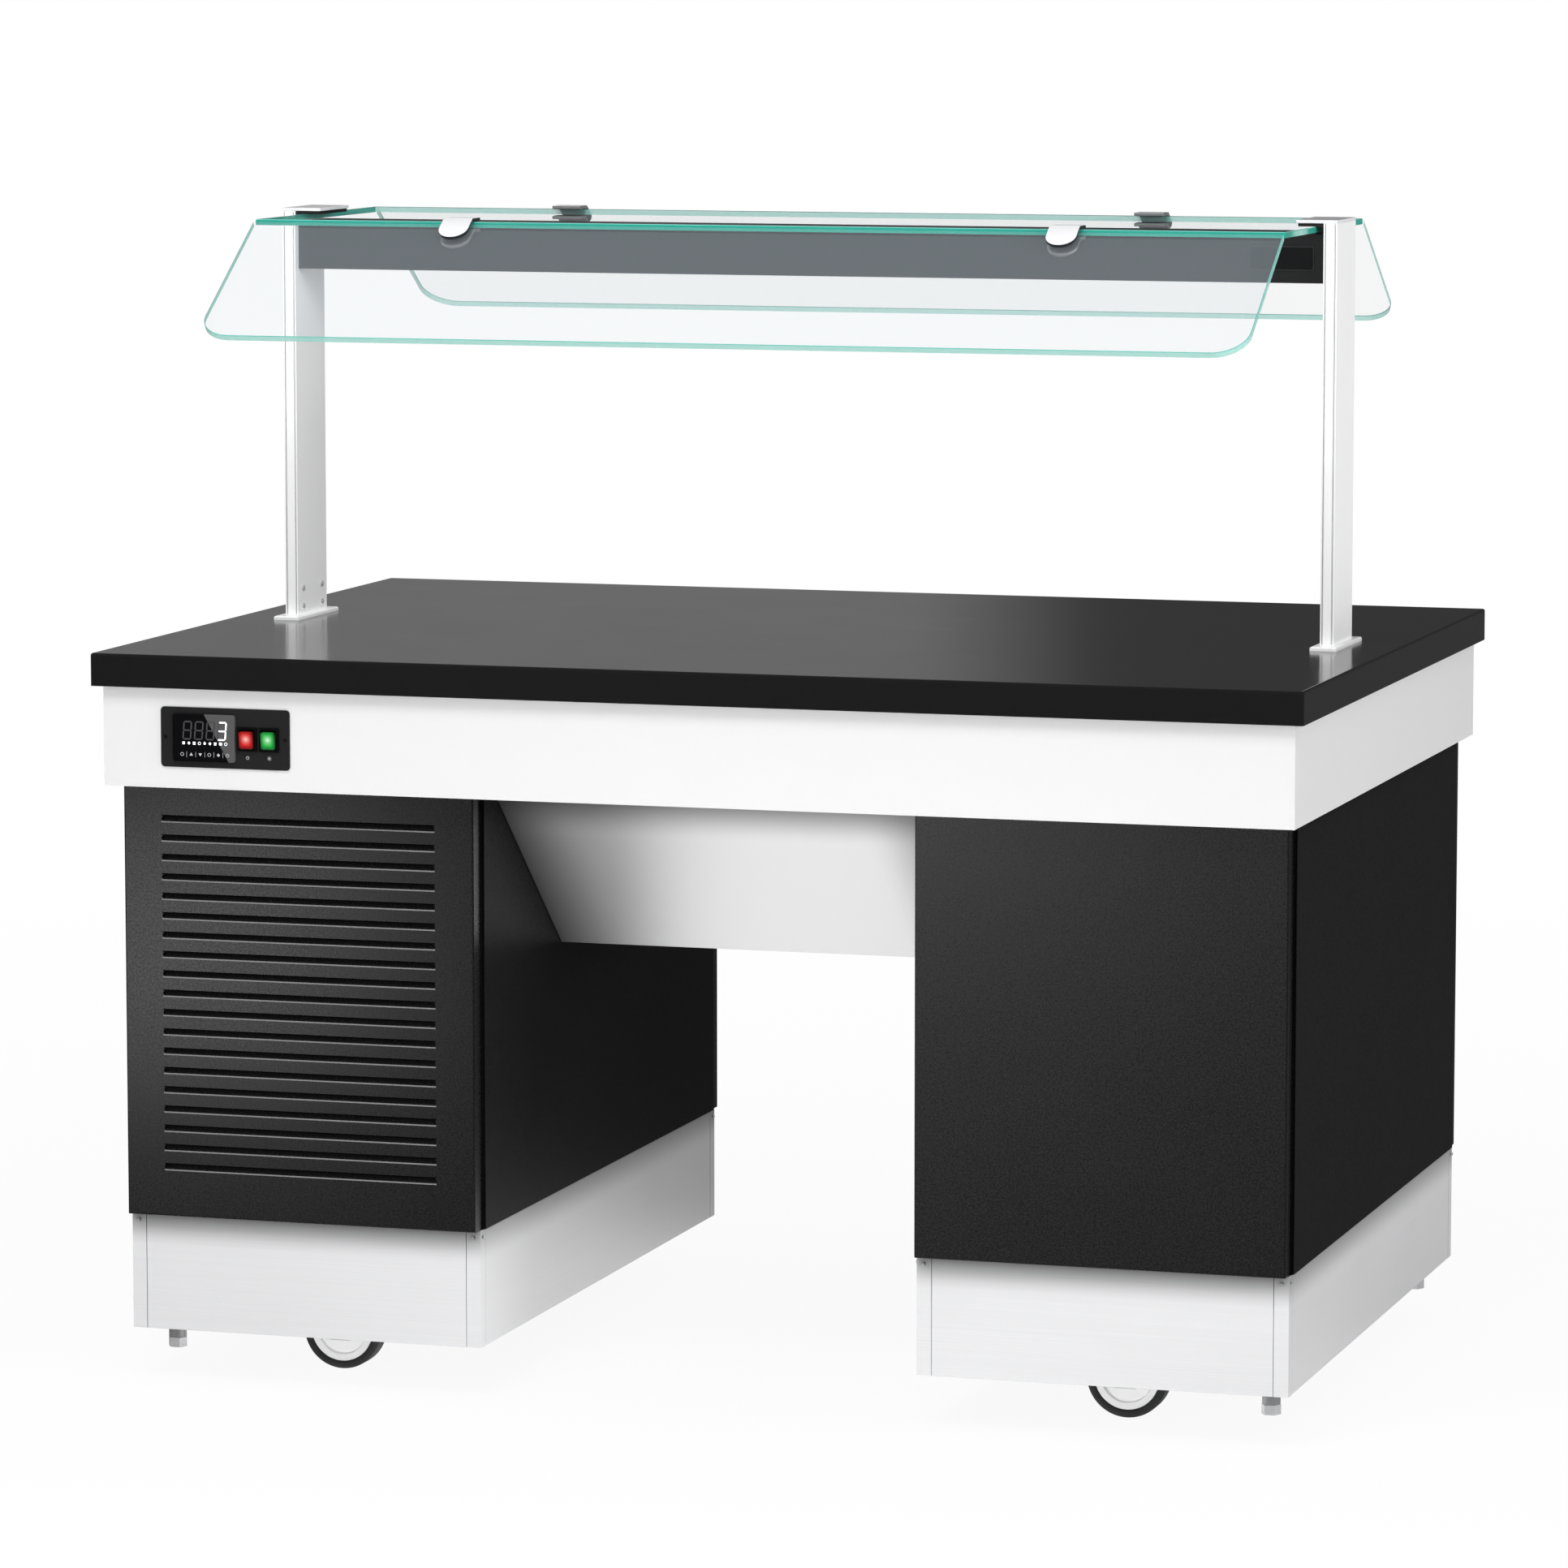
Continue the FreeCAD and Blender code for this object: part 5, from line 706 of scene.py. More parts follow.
class Tree:
    """A node tree that makes repeated geometry from named sizes."""

    def __init__(self, name: str, sizes: dict[str, float]) -> None:
        """Starts the tree with its geometry sockets and one input for each size.

        Args:
            name: the tree's name.
            sizes: what its inputs are called and set to.
        """
        self.group = bpy.data.node_groups.new(name, "GeometryNodeTree")
        face = self.group.interface
        face.new_socket(name="Geometry", in_out="INPUT", socket_type="NodeSocketGeometry")
        face.new_socket(name="Geometry", in_out="OUTPUT", socket_type="NodeSocketGeometry")
        self.sizes = sizes
        self.identifiers = {}
        for label, size in sizes.items():
            kind = "NodeSocketInt" if isinstance(size, int) else "NodeSocketFloat"
            self.identifiers[label] = face.new_socket(name=label, in_out="INPUT", socket_type=kind).identifier
        self.start = self.group.nodes.new("NodeGroupInput")

    def size(self, label: str) -> bpy.types.NodeSocket:
        """The socket of a named size."""
        return self.start.outputs[label]

    def add(self, kind: str, inputs: dict, out: int | str = 0, **settings: object) -> bpy.types.NodeSocket:
        """Adds a node.

        Args:
            kind: the node's type.
            inputs: values or links by socket name or number.
            out: the output to return.
            settings: the node's own settings, set before its sockets.

        Returns:
            The chosen output.
        """
        item = self.group.nodes.new(kind)
        for name, setting in settings.items():
            setattr(item, name, setting)
        for name, value in inputs.items():
            if isinstance(value, bpy.types.NodeSocket):
                self.group.links.new(value, item.inputs[name])
            else:
                item.inputs[name].default_value = value
        return item.outputs[out]

    def moved(self, piece: bpy.types.NodeSocket, along: float | bpy.types.NodeSocket) -> bpy.types.NodeSocket:
        """A piece moved up its own Z."""
        offset = self.add("ShaderNodeCombineXYZ", {"Z": along})
        return self.add("GeometryNodeTransform", {"Geometry": piece, "Translation": offset})

    def pack(self, *parts: bpy.types.NodeSocket) -> bpy.types.NodeSocket:
        """Joins geometries into one.

        Args:
            parts: the geometries.

        Returns:
            The joined geometry.
        """
        item = self.group.nodes.new("GeometryNodeJoinGeometry")
        for part in parts:
            self.group.links.new(part, item.inputs[0])
        return item.outputs[0]

    def run(self, result: bpy.types.NodeSocket, finish: Finish, base: bpy.types.Mesh, name: str) -> bpy.types.Mesh:
        """Ends the tree, runs it on a base mesh and returns a plain mesh.

        Args:
            result: the geometry that the tree made.
            finish: what it is made of.
            base: the mesh that the tree starts from.
            name: the new mesh's name.

        Returns:
            The plain mesh.
        """
        whole = self.add("GeometryNodeRealizeInstances", {"Geometry": result})
        dressed = self.add("GeometryNodeSetMaterial", {"Geometry": whole, "Material": finish.material()})
        end = self.group.nodes.new("NodeGroupOutput")
        self.group.links.new(dressed, end.inputs[0])
        item = linked(f"{name}_seed", base)
        modifier = item.modifiers.new("made", "NODES")
        modifier.node_group = self.group
        for label, size in self.sizes.items():
            modifier[self.identifiers[label]] = size
        return settled(item, name)


def spots(name: str, places: Sequence[Seat]) -> bpy.types.Mesh:
    """A mesh of loose points, each with the direction that its piece faces.

    Args:
        name: the mesh's name.
        places: point and direction of each piece.

    Returns:
        The mesh.
    """
    mesh = bpy.data.meshes.new(name)
    mesh.from_pydata([place for place, _ in places], [], [])
    facing = mesh.attributes.new("facing", "FLOAT_VECTOR", "POINT")
    facing.data.foreach_set("vector", [part for _, way in places for part in way])
    return mesh


def on_spots(tree: Tree, piece: bpy.types.NodeSocket) -> bpy.types.NodeSocket:
    """Puts a piece that faces +Z on each point, turned to the point's direction.

    Args:
        tree: the tree, whose geometry is a mesh of spots.
        piece: what is put there.

    Returns:
        All copies.
    """
    way = tree.add("GeometryNodeInputNamedAttribute", {"Name": "facing"}, data_type="FLOAT_VECTOR")
    turn = tree.add("FunctionNodeAlignRotationToVector", {"Vector": way}, axis="Z")
    points = tree.start.outputs["Geometry"]
    return tree.add("GeometryNodeInstanceOnPoints", {"Points": points, "Instance": piece, "Rotation": turn})


@dataclass
class CrossScrews:
    """Pan head screws with a cross recess."""

    radius: float = 3.2 * MM
    height: float = 2.0 * MM
    recess: float = 3.6 * MM
    slit: float = 0.8 * MM
    deep: float = 1.1 * MM
    shoulder: float = 0.55
    crown: float = 0.62
    sides: int = 24

    def build(self, name: str, places: Sequence[Seat], finish: Finish) -> bpy.types.Mesh:
        """The heads at their places.

        Args:
            name: the mesh's name.
            places: point and direction of each head's seat.
            finish: what they are made of.

        Returns:
            One plain mesh.
        """
        rise = self.height * self.shoulder
        tree = Tree(name, {"Sides": self.sides, "Radius": self.radius, "Crown": self.radius * self.crown,
                           "Height": self.height, "Wall": rise, "Slope": self.height - rise,
                           "Recess": self.recess, "Slit": self.slit, "Cut": self.deep * 2})
        wall = tree.add("GeometryNodeMeshCylinder", {
            "Vertices": tree.size("Sides"), "Radius": tree.size("Radius"), "Depth": tree.size("Wall")})
        crown = tree.add("GeometryNodeMeshCone", {
            "Vertices": tree.size("Sides"), "Radius Bottom": tree.size("Radius"), "Radius Top": tree.size("Crown"),
            "Depth": tree.size("Slope")})
        solid = tree.pack(tree.moved(wall, rise / 2), tree.moved(crown, tree.size("Wall")))
        bars = []
        for long, short in (("Recess", "Slit"), ("Slit", "Recess")):
            size = tree.add("ShaderNodeCombineXYZ", {0: tree.size(long), 1: tree.size(short), 2: tree.size("Cut")})
            bars.append(tree.moved(tree.add("GeometryNodeMeshCube", {"Size": size}), tree.size("Height")))
        cross = tree.add("GeometryNodeMeshBoolean", {"Mesh 2": tree.pack(*bars)}, operation="UNION")
        head = tree.add("GeometryNodeMeshBoolean", {"Mesh 2": solid}, operation="UNION")
        cut = tree.add("GeometryNodeMeshBoolean", {"Mesh 1": head, "Mesh 2": cross}, operation="DIFFERENCE")
        return tree.run(on_spots(tree, cut), finish, spots(f"{name}_spots", places), name)


@dataclass
class DomeScrews:
    """Polished domed screws."""

    radius: float = 4.5 * MM
    height: float = 2.5 * MM
    around: int = 24
    rings: int = 12

    def build(self, name: str, places: Sequence[Seat]) -> bpy.types.Mesh:
        """The domes at their places.

        Args:
            name: the mesh's name.
            places: point and direction of each dome's seat.

        Returns:
            One plain mesh.
        """
        tree = Tree(name, {"Radius": self.radius, "Around": self.around, "Rings": self.rings})
        ball = tree.add("GeometryNodeMeshUVSphere", {
            "Segments": tree.size("Around"), "Rings": tree.size("Rings"), "Radius": tree.size("Radius")})
        scale = (1.0, 1.0, self.height / self.radius)
        dome = tree.add("GeometryNodeTransform", {"Geometry": ball, "Scale": scale})
        smooth = tree.add("GeometryNodeSetShadeSmooth", {"Geometry": dome})
        return tree.run(on_spots(tree, smooth), FINISHES["bright_steel"], spots(f"{name}_spots", places), name)


# The counter's sub-assemblies

class Assembly:
    """A part of the counter that dresses its construction nodes and builds its own pieces.

    nodes holds how the names of its construction nodes start.
    """

    nodes: ClassVar[tuple[str, ...]] = ()

    def dress(self) -> None:
        """Gives each of its construction nodes its slot's finish, or a special one."""
        for name, node in frame["nodes"].items():
            if name.startswith(self.nodes):
                node.data.materials.clear()
                node.data.materials.append(FINISHES[SPECIAL.get(name, slot_of(name))].material())

    def build(self) -> None:
        """Builds nothing where the construction nodes are enough."""


class Inside(Assembly):
    """What the counter holds: cold plate, foam, condensing unit and its lines, terminal box."""

    nodes = ("top_insulation", "evaporator", "refrigerant_lines", "condensing_unit_base", "condenser_coil",
             "compressor", "fan_", "electrical_box")


@dataclass
class CounterTop(Assembly):
    """Stone slab, steel apron and the trough below."""

    nodes = ("worktop_slab", "apron_tray", "trough_housing")
    steel_edge: float = 0.8 * MM

    def build(self) -> None:
        """Breaks the steel's edges; the slab keeps its own rounded ones."""
        softened("apron_tray", self.steel_edge)
        softened("trough_housing", self.steel_edge, finish="trough_steel")


@dataclass
class Cabinets(Assembly):
    """Coated panels, with a pressed lip in a painted highlight under each louvre slot and painted shade above it."""

    nodes = ("side_panels", "left_", "right_", "rear_panels", "kick_")
    count: int = 19
    pitch: float = 23.8 * MM
    first: float = 268 * MM
    middle: float = -500 * MM
    length: float = 352 * MM
    slot: float = 6 * MM
    lip: float = 0.9 * MM
    proud: float = 0.8 * MM
    shade: float = 1.5 * MM
    shade_deep: float = 0.3 * MM
    lip_sides: int = 12
    edge: float = 0.7 * MM
    front_edge: float = 1.4 * MM
    kick_edge: float = 0.35 * MM

    def build(self) -> None:
        """Softens the flat panels, presses the lips in a painted highlight and adds strips of painted shade."""
        softened("side_panels", self.edge, finish="side_coat")
        softened("right_front_panel", self.front_edge, FINE_STEPS, "front_coat")
        softened("kick_plates", self.kick_edge)
        softened("kick_corners", self.edge)
        finished("louvre_lips", self.lips(), COUNTER, "black_coat")
        finished("louvre_shades", self.shades(), COUNTER, "black_coat")

    def lips(self) -> bpy.types.Mesh:
        """Rounded lips in a painted highlight, one below each slot, by a tree that repeats one of them.

        Returns:
            One plain mesh.
        """
        sizes = {"Count": self.count, "Pitch": self.pitch, "Length": self.length, "Lip": self.lip}
        tree = Tree("louvre_lips", sizes)
        ends = []
        for share in (-0.5, 0.5):
            reach = tree.add("ShaderNodeMath", {0: tree.size("Length"), 1: share}, operation="MULTIPLY")
            ends.append(tree.add("ShaderNodeCombineXYZ", {"X": reach}))
        line = tree.add("GeometryNodeCurvePrimitiveLine", {"Start": ends[0], "End": ends[1]})
        ring = tree.add("GeometryNodeCurvePrimitiveCircle", {"Resolution": self.lip_sides, "Radius": tree.size("Lip")})
        rod = tree.add("GeometryNodeCurveToMesh", {"Curve": line, "Profile Curve": ring, "Fill Caps": True})
        flat = tree.add("GeometryNodeTransform", {"Geometry": rod, "Scale": (1.0, self.proud / self.lip, 1.0)})
        many = self.row(tree, flat, -self.slot / 2 - self.lip)
        return tree.run(many, FINISHES["lip_painted_highlight"], bpy.data.meshes.new("louvre_lips_base"), "louvre_lips")

    def shades(self) -> bpy.types.Mesh:
        """Strips of painted shade under the pressed hoods, one above each slot.

        Returns:
            One plain mesh.
        """
        sizes = {"Count": self.count, "Pitch": self.pitch, "Length": self.length, "Deep": self.shade_deep,
                 "High": self.shade}
        tree = Tree("louvre_shades", sizes)
        parts = {axis: tree.size(label) for axis, label in zip("XYZ", ("Length", "Deep", "High"))}
        size = tree.add("ShaderNodeCombineXYZ", parts)
        strip = tree.add("GeometryNodeMeshCube", {"Size": size})
        many = self.row(tree, strip, (self.slot + self.shade) / 2)
        return tree.run(many, FINISHES["slot_shade"], bpy.data.meshes.new("louvre_shades_base"), "louvre_shades")

    def row(self, tree: Tree, piece: bpy.types.NodeSocket, above: float) -> bpy.types.NodeSocket:
        """Repeats a piece once for each slot.

        Args:
            tree: the tree that holds it, with inputs for the count and the pitch.
            piece: what is repeated.
            above: its height over the slot's middle.

        Returns:
            The repeated pieces.
        """
        step = tree.add("ShaderNodeCombineXYZ", {"Z": tree.size("Pitch")})
        start = (self.middle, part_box("left_louvre_panel")[0].y, self.first + above)
        line = tree.add("GeometryNodeMeshLine", {"Count": tree.size("Count"), "Start Location": start, "Offset": step})
        return tree.add("GeometryNodeInstanceOnPoints", {"Points": line, "Instance": piece})


@dataclass
class Screws(Assembly):
    """Small screws of the plinth and the control panel."""

    nodes = ("panel_screws",)
    edge: float = 9 * MM
    high: float = 198 * MM
    near: float = 274 * MM
    far: float = 726 * MM
    depth: float = 468 * MM
    panel: Point = (-580 * MM, -515 * MM, 800.5 * MM)
    panel_reach: float = 77 * MM
    panel_height: float = 1.2 * MM

    def build(self) -> None:
        """Heads of the plinth's screws, one on each face of its corners, and of the panel's two."""
        places = []
        for side in (-1, 1):
            for x, inward in ((self.near * side, side), (self.far * side, -side)):
                for y in (-self.depth, self.depth):
                    toward = -1 if y > 0 else 1
                    places.append(((x + self.edge * inward, y, self.high), (0, -toward, 0)))
                    places.append(((x, y + self.edge * toward, self.high), (-inward, 0, 0)))
        mesh = CrossScrews().build("cross_screws", places, FINISHES["zinc_steel"])
        finished("cross_screws", mesh, COUNTER, "bright_steel", "panel_screws")
        x, y, z = self.panel
        ends = [((x + reach, y, z), (0, -1, 0)) for reach in (-self.panel_reach, self.panel_reach)]
        mesh = CrossScrews(height=self.panel_height).build("plate_screws", ends, FINISHES["black_plastic"])
        finished("plate_screws", mesh, COUNTER, "bright_steel")


@dataclass
class Undercarriage(Assembly):
    """Castors and levelling feet."""

    nodes = ("castor_", "levelling_foot_", "foot_sleeves")
    edge: float = 0.6 * MM
    tyre_edge: float = 1.8 * MM

    def build(self) -> None:
        """Rounds the tyres' shoulders and the feet's corners."""
        for name in CORNER_NAMES:
            softened(f"castor_tyre_{name}", self.tyre_edge, FINE_STEPS)
            softened(f"castor_hub_{name}", self.edge)
            softened(f"levelling_foot_{name}", self.edge, finish="bright_steel")


class Mark(Enum):
    """Plain marks on the control panel."""

    SQUARE = "square"
    DIAMOND = "diamond"
    BARS = "bars"
    DISC = "disc"
    DROP = "drop"
    RING = "ring"
    DOWN = "down"
    UP = "up"
    POWER = "power"
    LAMP = "lamp"


def block(x0: float, z0: float, x1: float, z1: float) -> Outline:
    """An upright block's outline from its low left to its high right corner."""
    return [(x0, z0), (x1, z0), (x1, z1), (x0, z1)]


def circle(radius: float, start: float = 0, turn: float = 360, steps: int = 20) -> Outline:
    """Points on a circle about the middle, over a turn in degrees."""
    angles = [math.radians(start + turn * index / steps) for index in range(steps + 1)]
    return [(radius * math.cos(angle), radius * math.sin(angle)) for angle in angles]


def arc(start: float, turn: float, thick: float = 0.24, steps: int = 18) -> list[Outline]:
    """Short pieces of a ring of radius one, over a turn in degrees."""
    outer, inner = (circle(radius, start, turn, steps) for radius in (1, 1 - thick))
    return [[outer[index], outer[index + 1], inner[index + 1], inner[index]] for index in range(steps)]


def rays(near: float = 0.8, far: float = 1.3, half: float = 0.09, count: int = 8) -> list[Outline]:
    """Short strokes that point away from the middle."""
    turns = [Matrix.Rotation(math.tau * index / count, 2) for index in range(count)]
    return [[tuple(turn @ Vector(point)) for point in block(near, -half, far, half)] for turn in turns]


# Outlines of the marks, one unit from their middle to their edge
MARK_SHAPES: dict[Mark, list[Outline]] = {
    Mark.SQUARE: [block(-0.8, -0.8, 0.8, 0.8)],
    Mark.DIAMOND: [[(-1, 0), (0, -1), (1, 0), (0, 1)]],
    Mark.BARS: [block(-0.9, low, 0.9, low + 0.35) for low in (-0.9, -0.2, 0.5)],
    Mark.DISC: [circle(1)[:-1]],
    Mark.DROP: [circle(0.75, -230, 280) + [(0, 1.25)]],
    Mark.RING: arc(0, 360),
    Mark.DOWN: [[(-1, 0.7), (0, -1), (1, 0.7)]],
    Mark.UP: [[(-1, -0.7), (1, -0.7), (0, 1)]],
    Mark.POWER: arc(125, 290) + [block(-0.13, 0.1, 0.13, 1.15)],
    Mark.LAMP: rays() + [circle(0.5)[:-1]],
}

# What the display shows: a row of marks, the keys' marks, and the lit segments of its four figures
STATUS_MARKS = (Mark.SQUARE, Mark.DIAMOND, Mark.BARS, Mark.RING, Mark.DROP, Mark.DIAMOND, Mark.BARS, Mark.DISC,
                Mark.RING)
KEY_MARKS = (Mark.RING, Mark.UP, Mark.DOWN, Mark.RING, Mark.DIAMOND, Mark.POWER)
FIGURES: tuple[frozenset[int], ...] = (frozenset(), frozenset(), frozenset(), frozenset((0, 2, 3, 5, 6)))


@dataclass
class ControlPanel(Assembly):
    """Plate with the controller's display, its keys and two lit rockers."""

    nodes = ("control_plate", "controller_", "rocker_")
    controller_x: float = -604.5 * MM
    mid_z: float = 800.5 * MM
    window_x: float = -606 * MM
    window_size: Flat = (80 * MM, 57.5 * MM)
    window_corner: float = 3.5 * MM
    window_y: float = -519.4 * MM
    plate_y: float = -515 * MM
    film: float = 0.15 * MM
    digit_pitch: float = 14.9 * MM
    digit_wide: float = 9.6 * MM
    digit_high: float = 21 * MM
    digit_rise: float = 9.1 * MM
    stroke: float = 1.7 * MM
    parting: float = 0.15
    slant: float = 0.08
    status_drop: float = 6.4 * MM
    status_pitch: float = 6.8 * MM
    status_size: float = 1.9 * MM
    key_drop: float = 20 * MM
    key_pitch: float = 11.7 * MM
    key_size: float = 2.2 * MM
    key_line: Flat = (0.16 * MM, 3.3 * MM)
    mark_drop: float = 22.5 * MM
    mark_size: float = 2.1 * MM
    rocker_x: tuple[float, float] = (-551 * MM, -523 * MM)
    edge: float = 0.5 * MM
    lens_half: Flat = (9.1 * MM, 10.7 * MM)
    lens_corner: float = 3.6 * MM
    lens_edge: float = 0.7 * MM
    lens_face: float = 6.8 * MM
    lens_vee: float = 1 * MM
    lens_back: float = 3 * MM
    lens_tilt: float = 8.0
    bulb_deep: float = 6 * MM
    bulb_rise: float = 0.5 * MM

    def build(self) -> None:
        """Softens the panel's pieces, lights the rockers and draws the marks."""
        softened("control_plate", self.edge, finish="panel_plate")
        for node in ("controller_case", "controller_window"):
            softened(node, self.edge)
        softened("rocker_bezels", self.edge, finish="bezel_black")
        window = prisms([rounded(self.window_x, self.mid_z, *self.window_size, self.window_corner)], self.window_y,
                        self.plate_y)
        finished("window_glass", mesh_of("window_glass", window, FINISHES["dark_window"]), COUNTER, "dark_window")
        for name, x in zip(("red", "green"), self.rocker_x):
            rocker = softened(f"rocker_switch_{name}", self.edge)
            mesh = mesh_of(f"{name}_lens", self.lens_shape(x), self.lens(name, x))
            finished(f"{name}_lens", mesh, rocker["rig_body"], f"{name}_rocker")
        lit, dim = self.digits()
        status = self.row(STATUS_MARKS, self.status_drop, self.status_pitch, self.status_size)
        window, plate = self.window_y, self.plate_y
        for name, outlines, finish, face in (
                ("digits_lit", lit, LIT_MARK, window), ("digits_dim", dim, DIM_MARK, window),
                ("status_marks", status, LIT_MARK, window), ("key_marks", self.keys(), PALE_MARK, window),
                ("rocker_marks", self.rocker_marks(), PALE_MARK, plate)):
            shape = prisms(outlines, face - self.film, face + self.film)
            finished(name, mesh_of(name, shape, finish), COUNTER, "dark_window")

    def lens_shape(self, x: float) -> bmesh.types.BMesh:
        """A rocker's lens with round corners and a shallow V face, tilted like the rocker.

        Args:
            x: the rocker's middle across.

        Returns:
            The shape, in place.
        """
        shape = bmesh.new()
        wide, high = self.lens_half
        turn = Matrix.Rotation(math.radians(self.lens_tilt), 3, "X")
        pivot = Vector((x, self.plate_y, self.mid_z))
        rings = []
        for inset, step in ((self.lens_edge, 0.0), (0.0, self.lens_edge), (0.0, self.lens_face - self.lens_back)):
            size = (2 * (wide - inset), 2 * (high - inset))
            ring = []
            for px, pz in rounded(0, 0, *size, self.lens_corner - inset):
                hollow = self.lens_vee * (1 - abs(pz) / high) * (step < self.lens_face - self.lens_back)
                ring.append(shape.verts.new(pivot + turn @ Vector((px, step + hollow - self.lens_face, pz))))
            rings.append(ring)
        count = len(rings[0])
        middle = shape.verts.new(pivot + turn @ Vector((0, self.lens_vee - self.lens_face, 0)))
        for index in range(count):
            after = (index + 1) % count
            shape.faces.new((rings[0][index], rings[0][after], middle))
            for near, far in zip(rings, rings[1:]):
                shape.faces.new((near[index], far[index], far[after], near[after]))
        shape.faces.new(rings[-1])
        bmesh.ops.recalc_face_normals(shape, faces=shape.faces)
        return shape

    def lens(self, name: str, x: float) -> LitLens:
        """The lit finish of one rocker, with its lamp behind the middle."""
        middle = (x, self.plate_y - self.bulb_deep, self.mid_z + self.bulb_rise)
        return replace(LENSES[name], middle=middle, centre=(x, self.mid_z), half=self.lens_half)

    def bar(self, start: Flat, end: Flat) -> Outline:
        """A segment with pointed ends between two points.

        Args:
            start: one point.
            end: the other.

        Returns:
            Its closed outline.
        """
        along = Vector(end) - Vector(start)
        way = along.normalized()
        side = Vector((-way.y, way.x)) * (self.stroke / 2)
        tip = way * (self.stroke / 2)
        gap = way * (self.stroke * self.parting)
        a, b = Vector(start) + gap, Vector(end) - gap
        return [tuple(p) for p in (a, a + tip + side, b - tip + side, b, b - tip - side, a + tip - side)]

    def digits(self) -> tuple[list[Outline], list[Outline]]:
        """Lit and unlit segments of the four figures.

        Returns:
            Outlines of the lit segments, then of the others.
        """
        w, h = self.digit_wide / 2, self.digit_high / 2
        corners = {"a": (-w, h), "b": (w, h), "c": (-w, 0), "d": (w, 0), "e": (-w, -h), "f": (w, -h)}
        ends = ("ab", "ac", "bd", "cd", "ce", "df", "ef")
        lit, dim = [], []
        for x, chosen in zip(self.across(len(FIGURES), self.digit_pitch), FIGURES):
            z = self.mid_z + self.digit_rise
            for number, (one, two) in enumerate(ends):
                points = self.bar(corners[one], corners[two])
                drawn = [(x + px + pz * self.slant, z + pz) for px, pz in points]
                (lit if number in chosen else dim).append(drawn)
        return lit, dim

    def across(self, count: int, pitch: float) -> list[float]:
        """X of each place in an even row about the controller's middle."""
        return [self.controller_x + pitch * (index - (count - 1) / 2) for index in range(count)]

    def mark(self, kind: Mark, x: float, z: float, size: float) -> list[Outline]:
        """The outlines of one mark about its middle."""
        return [[(x + px * size, z + pz * size) for px, pz in outline] for outline in MARK_SHAPES[kind]]

    def row(self, kinds: Sequence[Mark], drop: float, pitch: float, size: float) -> list[Outline]:
        """Marks in an even row.

        Args:
            kinds: the marks from left to right.
            drop: how far they lie below the panel's middle.
            pitch: from one to the next.
            size: from a mark's middle to its edge.

        Returns:
            All outlines.
        """
        return [outline for x, kind in zip(self.across(len(kinds), pitch), kinds)
                for outline in self.mark(kind, x, self.mid_z - drop, size)]

    def keys(self) -> list[Outline]:
        """The row of key marks with thin lines between them.

        Returns:
            All outlines.
        """
        z = self.mid_z - self.key_drop
        thin, tall = self.key_line
        lines = [block(x - thin, z - tall, x + thin, z + tall)
                 for x in self.across(len(KEY_MARKS) - 1, self.key_pitch)]
        return self.row(KEY_MARKS, self.key_drop, self.key_pitch, self.key_size) + lines

    def rocker_marks(self) -> list[Outline]:
        """A power mark and a lamp mark under the rockers."""
        z = self.mid_z - self.mark_drop
        return [outline for kind, x in zip((Mark.POWER, Mark.LAMP), self.rocker_x)
                for outline in self.mark(kind, x, z, self.mark_size)]


# Material numbers of a pane's ground edges, each with its outer arris as the next number
HIGH_EDGE, LOW_EDGE, OTHER_EDGES = 1, 3, 5


